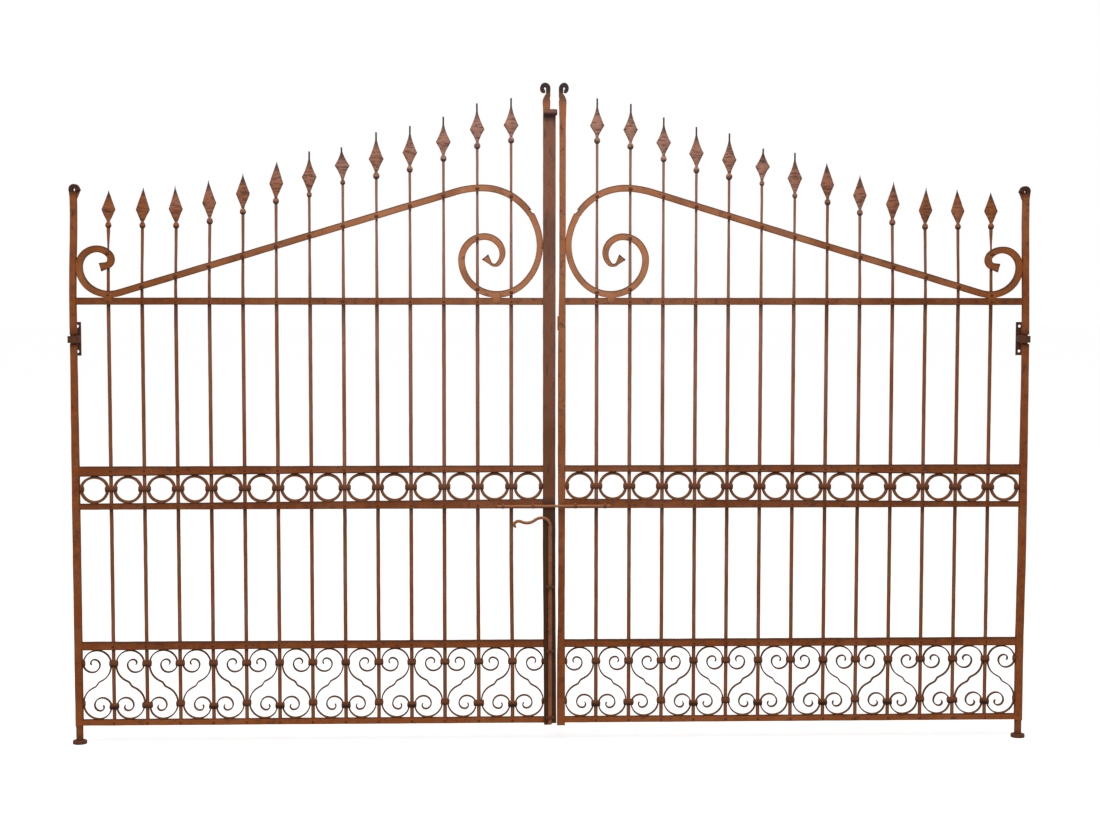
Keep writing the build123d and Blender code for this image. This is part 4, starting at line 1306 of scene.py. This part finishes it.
# %% All the bars
PINNED_RAILS = ("top_rail", "ring_top_rail", "ring_low_rail", "scroll_rail", "bottom_rail")
# The painted shadow under a crossing: where it is full and where it ends, and how near a bar
# is to its own crossings.
CROSSING_SHADOW_MM = (3.0, 13.0)
CROSSING_SHADOW_NEAR_MM = 20.0
# The dark runs: half their greatest length, how fast that changes from bar to bar, their share.
DARK_RUN_MM = 55.0
DARK_RUN_WAVES_PER_M = 41
DARK_RUN_SHARE = 0.5
SCROLL_CROSSINGS = {}
for side in SIDES:
    copy = merged_copy(side + "_crest_scroll")
    scroll_tree = BVHTree.FromBMesh(copy)
    copy.free()
    scroll_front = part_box(side + "_crest_scroll")[0].y
    rail_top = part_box(side + "_top_rail")[1].z
    bars = boxes_of(side + "_bars")
    places = [(low.x + high.x) / 2 for low, high in bars]
    passes = [crossings(scroll_tree, x, scroll_front + 2 * MM, rail_top - 5 * MM) for x in places]
    SCROLL_CROSSINGS[side] = list(zip(places, passes))
    numbers = range(len(bars)) if side == "left" else range(len(bars))[::-1]
    parts = [drawn_bar(low, high, number, through, rail_top)
             for (low, high), number, through in zip(bars, numbers, passes)]
    scroll_crossing_lows = [(x, bottom) for x, through in SCROLL_CROSSINGS[side] for bottom, top in through]
    rail_lows = [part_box(side + "_" + rail)[0].z for rail in PINNED_RAILS]
    run_starts = [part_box(side + "_" + rail)[0].z for rail in ("top_rail", "ring_low_rail")]

    def under_a_crossing(p):
        """Painted shadow close under each rail and the scroll, and darker runs further down."""
        lows = rail_lows + [z for x, z in scroll_crossing_lows if abs(x - p.x) < CROSSING_SHADOW_NEAR_MM * MM]
        shadow_span = [size * MM for size in CROSSING_SHADOW_MM]
        close = 0.65 * max(1 - ramp(abs(p.z - z), *shadow_span) for z in lows)
        run = (DARK_RUN_MM + DARK_RUN_MM * sin(DARK_RUN_WAVES_PER_M * p.x)) * MM
        dark_run = max((1 - ramp(z - p.z, 8 * MM, run + 30 * MM)) * (p.z < z) for z in run_starts)
        return max(close, DARK_RUN_SHARE * dark_run)

    new_piece(side + "_drawn_bars", *joined(parts), side + "_leaf", "round_bar", [side + "_bars"],
              under_a_crossing)
print("crest crossings", [len(through) for x, through in SCROLL_CROSSINGS["left"]])

# %% [markdown]
# ## The spear heads
# Each head was forged from the bar's own end: a ball, a pinched neck, then a flat lozenge
# beaten out with four long facets. No two are alike. The low ones have straight edges, the
# high ones are hollowed to a needle. So each head is a stack of rings that go from round to a
# diamond, with its own curve, and the hammer leaves small dents. The lists go by number from
# the hanging stile.

# %% The spear heads
# The curves of the edges to the tip (1 is straight) and from the neck up to the shoulder.
EDGE_CURVES = (1.0, 1.0, 1.15, 1.1, 1.1, 0.95, 1.8, 1.6, 1.7, 1.8, 1.9, 1.9, 1.9)
SHOULDER_CURVES = (1.0, 1.05, 1.0, 1.1, 1.1, 1.2, 1.1, 1.5, 1.2, 1.3, 1.35, 1.4, 1.4)
SHOULDER_SHARES = (0.45, 0.415, 0.41, 0.41, 0.41, 0.41, 0.385, 0.385, 0.38, 0.38, 0.38, 0.365, 0.365)
SHOULDERS_UP_MM = (2, 0, 3, 9, 12, 7, 5, 12, 3, 3, 3, 5, 0)
TIPS_UP_MM = (2, -2, 3, 7, 9, 5, 0, -2, 0, 2, 0, 0, 1)
LEANS_MM = (3, 5, -2, -3, 1, 4, 1, -4, 0, 1, 0, -1, 0)
BALL_SIZES_MM = (22, 21.5, 22, 22.5, 22, 22, 18.5, 18, 23.5, 22, 22, 22.5, 22)
BALL_TALLER = 1.25
BALL_UP_MM = 9.0
BALL_NECK_MM = 4.0
HEAD_RINGS = 11
HEAD_SIDES = 16
# A head with a curve above this is hollowed. Pairs are for the straight and the hollowed ones.
HOLLOW_CURVE = 1.3
HEAD_SPREAD_MM = (0.6, 2.2)
TIP_MM = (2.6, 6.8)
NEEDLE_REACH_MM = 2.0
HALF_THICK_MM = 6.5
WAIST_MM = 8.8
# The dark scale towards the tip: its share, and where it starts below the tip.
TIP_DARK = ((0.6, 38.0), (0.85, 72.0))


def diamond(angle, half_x, half_y, share):
    """A point between a circle (share 0) and a diamond (share 1)."""
    c, s = cos(angle), sin(angle)
    flat = abs(c) + abs(s)
    return half_x * c * (1 - share + share / flat), half_y * s * (1 - share + share / flat)


def ball_profile(ball_z, ball_r):
    """Heights and radii of a ball that is taller below its middle."""
    angles = [pi * (0.08 + 0.84 * k / 9) for k in range(10)]
    return [(ball_z - ball_r * cos(a) * (BALL_TALLER if cos(a) < 0 else 1),
             max(ball_r * sin(a), BALL_NECK_MM * MM)) for a in angles]


def head_levels(number, neck_z, shoulder, tip_z, half_w):
    """Height, half width, half thickness and diamond share of each ring of a lozenge."""
    waist_r, half_t = WAIST_MM / 2 * MM, HALF_THICK_MM * MM
    tip_mm = TIP_MM[EDGE_CURVES[number] > HOLLOW_CURVE]
    levels = []
    for k in range(HEAD_RINGS):
        t = k / (HEAD_RINGS - 1)
        curve = t ** SHOULDER_CURVES[number]
        levels.append((neck_z + (shoulder - neck_z) * t, waist_r + (half_w - waist_r) * curve,
                       waist_r + (half_t - waist_r) * curve, min(1.0, 3 * t)))
    for k in range(1, HEAD_RINGS + 3):
        t = k / (HEAD_RINGS + 2)
        curve = (1 - t) ** EDGE_CURVES[number]
        least = tip_mm / 2 * MM * (1 - 0.12 * t)
        levels.append((shoulder + (tip_z - shoulder) * t, max(half_w * curve, least),
                       max(half_t * curve ** 0.8, least), 1.0 - 0.6 * t))
    return levels


print("a head has", 2 * HEAD_RINGS + 2, "rings of", HEAD_SIDES, "points")

# %% [markdown]
# ## All the heads
# The CAD box of a head gives its place, width and height. Its ball sits low in that box, and the
# rest is measured from there. Each head leans its own way. It carries painted shade under the
# ball, and dark scale towards its thin tip.


# %% All the heads
def head(box, number, to_middle):
    """Ball, neck and lozenge of one spear head."""
    low, high = box
    hollowed = EDGE_CURVES[number] > HOLLOW_CURVE
    ball_r = BALL_SIZES_MM[number] / 2 * MM
    ball_z = low.z + BALL_UP_MM * MM
    neck_z = ball_z + ball_r * 0.8 * BALL_TALLER
    shoulder = ball_z + SHOULDER_SHARES[number] * (high.z - ball_z) + SHOULDERS_UP_MM[number] * MM
    tip_z = high.z + (NEEDLE_REACH_MM * hollowed + TIPS_UP_MM[number]) * MM
    half_w = (high.x - low.x) / 2 + HEAD_SPREAD_MM[hollowed] * MM
    x_axis = (low.x + high.x) / 2
    x_axis += leaned(x_axis, ball_z, BAR_LEANS_MM[number])
    lean = LEANS_MM[number] * MM * to_middle
    levels = head_levels(number, neck_z, shoulder, tip_z, half_w)
    verts = []
    for z, half_x, half_y, share in levels:
        up = (z - neck_z) / (high.z - neck_z)
        for k in range(HEAD_SIDES):
            x, y = diamond(2 * pi * k / HEAD_SIDES, half_x, half_y, share)
            point = Vector((x_axis + lean * up + x, y, z))
            verts.append(point + hammered(point, 1.3 * (1 - up), 16.0))
    ball = turned(x_axis, 0, ball_profile(ball_z, ball_r), sides=16, rough_mm=0.5)
    return joined([ball, (verts, stacked(len(levels), HEAD_SIDES))])


for side in SIDES:
    boxes = boxes_of(side + "_spear_heads")
    order = boxes if side == "left" else boxes[::-1]
    parts = [head(box, number, TO_MIDDLE[side]) for number, box in enumerate(order)]
    ends = {(low.x + high.x) / 2: (low.z + BALL_UP_MM * MM, high.z, EDGE_CURVES[number] > HOLLOW_CURVE)
            for number, (low, high) in enumerate(order)}

    def tip_scale_and_ball_shade(p):
        """Painted shade under the ball, and dark scale towards the tip."""
        ball_z, tip, hollowed = ends[min(ends, key=lambda x: abs(x - p.x))]
        ball_underside_shade = 0.85 * (1 - ramp(p.z, ball_z - 7 * MM, ball_z + 2 * MM))
        share, reach_mm = TIP_DARK[hollowed]
        return max(ball_underside_shade, share * ramp(p.z, tip - reach_mm * MM, tip - 14 * MM))

    new_piece(side + "_forged_heads", *joined(parts), side + "_leaf", "forged_heads",
              [side + "_spear_heads"], tip_scale_and_ball_shade)
print("heads", len(ends), "a leaf")

# %% [markdown]
# ## The collars
# A collar is a short strip wrapped hot round a bar and its neighbour, which grips as it cools.
# At this size it reads as a soft block with rounded edges, a little proud in its middle. Each
# is lofted from rounded rectangles over its CAD solid's box. The collars between the rings are
# waisted where the strip's two edges meet.

# %% The collars
# Shares of a collar's length with how far its skin sinks in there, in mm.
COLLAR_SOFT = ((0.0, 1.6), (0.06, 0.5), (0.16, 0.0), (0.5, -0.5), (0.84, 0.0), (0.94, 0.5), (1.0, 1.6))
COLLAR_WAISTED = ((0.0, 1.8), (0.05, 0.3), (0.18, -0.6), (0.5, 0.9), (0.82, -0.6), (0.95, 0.3), (1.0, 1.8))
COLLAR_CORNER_MM = 3.5


def collar(low, high, along, levels):
    """A soft block over a collar's box, lofted along axis number 0 or 2."""
    order = (1, 2, 0) if along == 0 else (0, 1, 2)
    middle, half = (low + high) / 2, (high - low) / 2
    half_a, half_b, half_c = (half[k] for k in order)
    corner = COLLAR_CORNER_MM * MM
    ring = []
    for quarter, (sign_a, sign_b) in enumerate(((1, 1), (-1, 1), (-1, -1), (1, -1))):
        for k in range(4):
            angle = pi / 2 * (quarter + k / 3)
            ring.append((sign_a * (half_a - corner) + corner * cos(angle),
                         sign_b * (half_b - corner) + corner * sin(angle)))
    verts = []
    for share, inset in levels:
        for a, b in ring:
            point = Vector(middle)
            point[order[0]] += a * (1 - inset * MM / half_a)
            point[order[1]] += b * (1 - inset * MM / half_b)
            point[order[2]] += half_c * (2 * share - 1)
            verts.append(point + hammered(point, 0.9, 12.0))
    return verts, stacked(len(levels), len(ring))


COLLAR_KINDS = {"ring_collars": (0, COLLAR_WAISTED), "scroll_collars": (2, COLLAR_SOFT)}
for side in SIDES:
    for name, (along, levels) in COLLAR_KINDS.items():
        boxes = boxes_of(side + "_" + name)
        rows = sorted({round(low.z, 3) for low, high in boxes})
        verts, faces = joined([collar(low, high, along, levels) for low, high in boxes])
        height = boxes[0][1].z - boxes[0][0].z

        def under_side(p):
            """Dark on the lower side of the collar's own row."""
            row = max([z for z in rows if z < p.z + 4 * MM], default=rows[0])
            return 0.9 * (1 - ramp(p.z - row, 0.04 * height, 0.42 * height))

        new_piece(side + "_" + name + "_forged", verts, faces, side + "_leaf", "collars",
                  [side + "_" + name], under_side)
        print(side, name, len(boxes))

# %% [markdown]
# ## The pins
# Every bar is pinned where it passes through a rail or the crest scroll, so that it can't slip.
# Only the pin's domed, burred head shows, as a dark dot. There are more than a hundred, so
# Geometry Nodes put one head on each point, sized a little at random.


# %% The pins
def socket(tree, name, kind, default):
    """A named input on a geometry tree."""
    made = tree.interface.new_socket(name=name, in_out="INPUT", socket_type=kind)
    if default is not None:
        made.default_value = default
    return made


def dome_tree():
    """Domed heads on the points of a mesh, facing the front."""
    tree = bpy.data.node_groups.new("burred pin heads", "GeometryNodeTree")
    tree.interface.new_socket(name="Geometry", in_out="INPUT", socket_type="NodeSocketGeometry")
    socket(tree, "Head width", "NodeSocketFloat", 9 * MM)
    socket(tree, "Head height", "NodeSocketFloat", 3 * MM)
    socket(tree, "Unevenness", "NodeSocketFloat", 0.18)
    socket(tree, "Dark scale", "NodeSocketFloat", 0.3)
    socket(tree, "Seed", "NodeSocketInt", 7)
    socket(tree, "Finish", "NodeSocketMaterial", None)
    tree.interface.new_socket(name="Geometry", in_out="OUTPUT", socket_type="NodeSocketGeometry")
    given = add(tree, "NodeGroupInput")
    ball = add(tree, "GeometryNodeMeshIcoSphere", Radius=0.5, Subdivisions=2)
    size = add(tree, "ShaderNodeCombineXYZ", X=(given, "Head width"), Y=(given, "Head height"),
               Z=(given, "Head width"))
    dome = add(tree, "GeometryNodeTransform", Geometry=(ball, "Mesh"), Scale=(size, 0))
    less = add(tree, "ShaderNodeMath", {"operation": "SUBTRACT"}, i0=1.0, i1=(given, "Unevenness"))
    more = add(tree, "ShaderNodeMath", {"operation": "ADD"}, i0=1.0, i1=(given, "Unevenness"))
    low = add(tree, "ShaderNodeCombineXYZ", X=(less, 0), Y=(less, 0), Z=(less, 0))
    high = add(tree, "ShaderNodeCombineXYZ", X=(more, 0), Y=(more, 0), Z=(more, 0))
    uneven = add(tree, "FunctionNodeRandomValue", {"data_type": "FLOAT_VECTOR"}, i0=(low, 0),
                 i1=(high, 0), Seed=(given, "Seed"))
    placed = add(tree, "GeometryNodeInstanceOnPoints", Points=(given, "Geometry"),
                 Instance=(dome, "Geometry"), Scale=(uneven, 0))
    real = add(tree, "GeometryNodeRealizeInstances", Geometry=(placed, 0))
    smooth = add(tree, "GeometryNodeSetShadeSmooth", Geometry=(real, 0))
    stored = add(tree, "GeometryNodeStoreNamedAttribute", {"data_type": "FLOAT"}, Geometry=(smooth, 0),
                 Name="dark", Value=(given, "Dark scale"))
    painted = add(tree, "GeometryNodeSetMaterial", Geometry=(stored, 0), Material=(given, "Finish"))
    add(tree, "NodeGroupOutput", Geometry=(painted, 0))
    return tree


DOMES = dome_tree()
print("inputs", [item.name for item in DOMES.interface.items_tree if item.in_out == "INPUT"])

# %% [markdown]
# ## Pins as plain meshes
# A mesh of points carries the modifier, its inputs are set by their identifiers, and the result
# is made a plain mesh. The carrier is then deleted.


# %% Pins as plain meshes
def domed_heads(name, points, body, slot, width_mm, height_mm, dark, seed):
    """One plain mesh of pin or rivet heads on the given points."""
    mesh = bpy.data.meshes.new(name + "_points")
    mesh.from_pydata([offset(p) for p in points], [], [])
    carrier = bpy.data.objects.new(name + "_points", mesh)
    bpy.context.scene.collection.objects.link(carrier)
    modifier = carrier.modifiers.new("heads", "NODES")
    modifier.node_group = DOMES
    values = {"Head width": width_mm * MM, "Head height": height_mm * MM, "Dark scale": dark, "Seed": seed,
              "Finish": IRON[slot]}
    for item in DOMES.interface.items_tree:
        if item.in_out == "INPUT" and item.name in values:
            modifier[item.identifier] = values[item.name]
    ready = carrier.evaluated_get(bpy.context.evaluated_depsgraph_get())
    made = bpy.data.meshes.new_from_object(ready)
    made.name = name
    bpy.data.objects.remove(carrier)
    return placed(name, made, body, slot)


print("heads on points by", DOMES.name)

# %% [markdown]
# ## Where the pins sit
# The pins of a rail sit a little below its middle. On the crest scroll, which the bars cross at
# a slant, they sit near the upper edge of each crossing. The back has the same pins.


# %% Where the pins sit
RAIL_PIN_MM = (9.5, 4.5)
CREST_PIN_MM = (14.0, 6.5)
PIN_DARK = 0.4
PIN_UNDER_TOP_MM = 14.0
RAIL_PIN_DROP_MM = 1.5
CREST_PIN_DROP_MM = 3.0
RAIL_PIN_SEED = 11
CREST_PIN_SEED = 21


def front_and_back(points):
    """The points, and their mirror images behind the gate."""
    return [p for x, y, z in points for p in ((x, y, z), (x, -y, z))]


for number, side in enumerate(SIDES):
    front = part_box(side + "_crest_scroll")[0].y
    on_crest = [(x, front, max((a + b) / 2, b - PIN_UNDER_TOP_MM * MM) - CREST_PIN_DROP_MM * MM)
                for x, passes in SCROLL_CROSSINGS[side] for a, b in passes]
    on_rails = []
    for rail in PINNED_RAILS:
        low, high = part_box(side + "_" + rail)
        z = (low.z + high.z) / 2 - RAIL_PIN_DROP_MM * MM
        on_rails += [(x, low.y, z) for x, passes in SCROLL_CROSSINGS[side]]
    domed_heads(side + "_rail_pins", front_and_back(on_rails), side + "_leaf", "collars", *RAIL_PIN_MM,
                PIN_DARK, RAIL_PIN_SEED + number)
    domed_heads(side + "_crest_pins", front_and_back(on_crest), side + "_leaf", "collars", *CREST_PIN_MM,
                PIN_DARK, CREST_PIN_SEED + number)
    print(side, "pins", len(on_rails) + len(on_crest), "on each face")
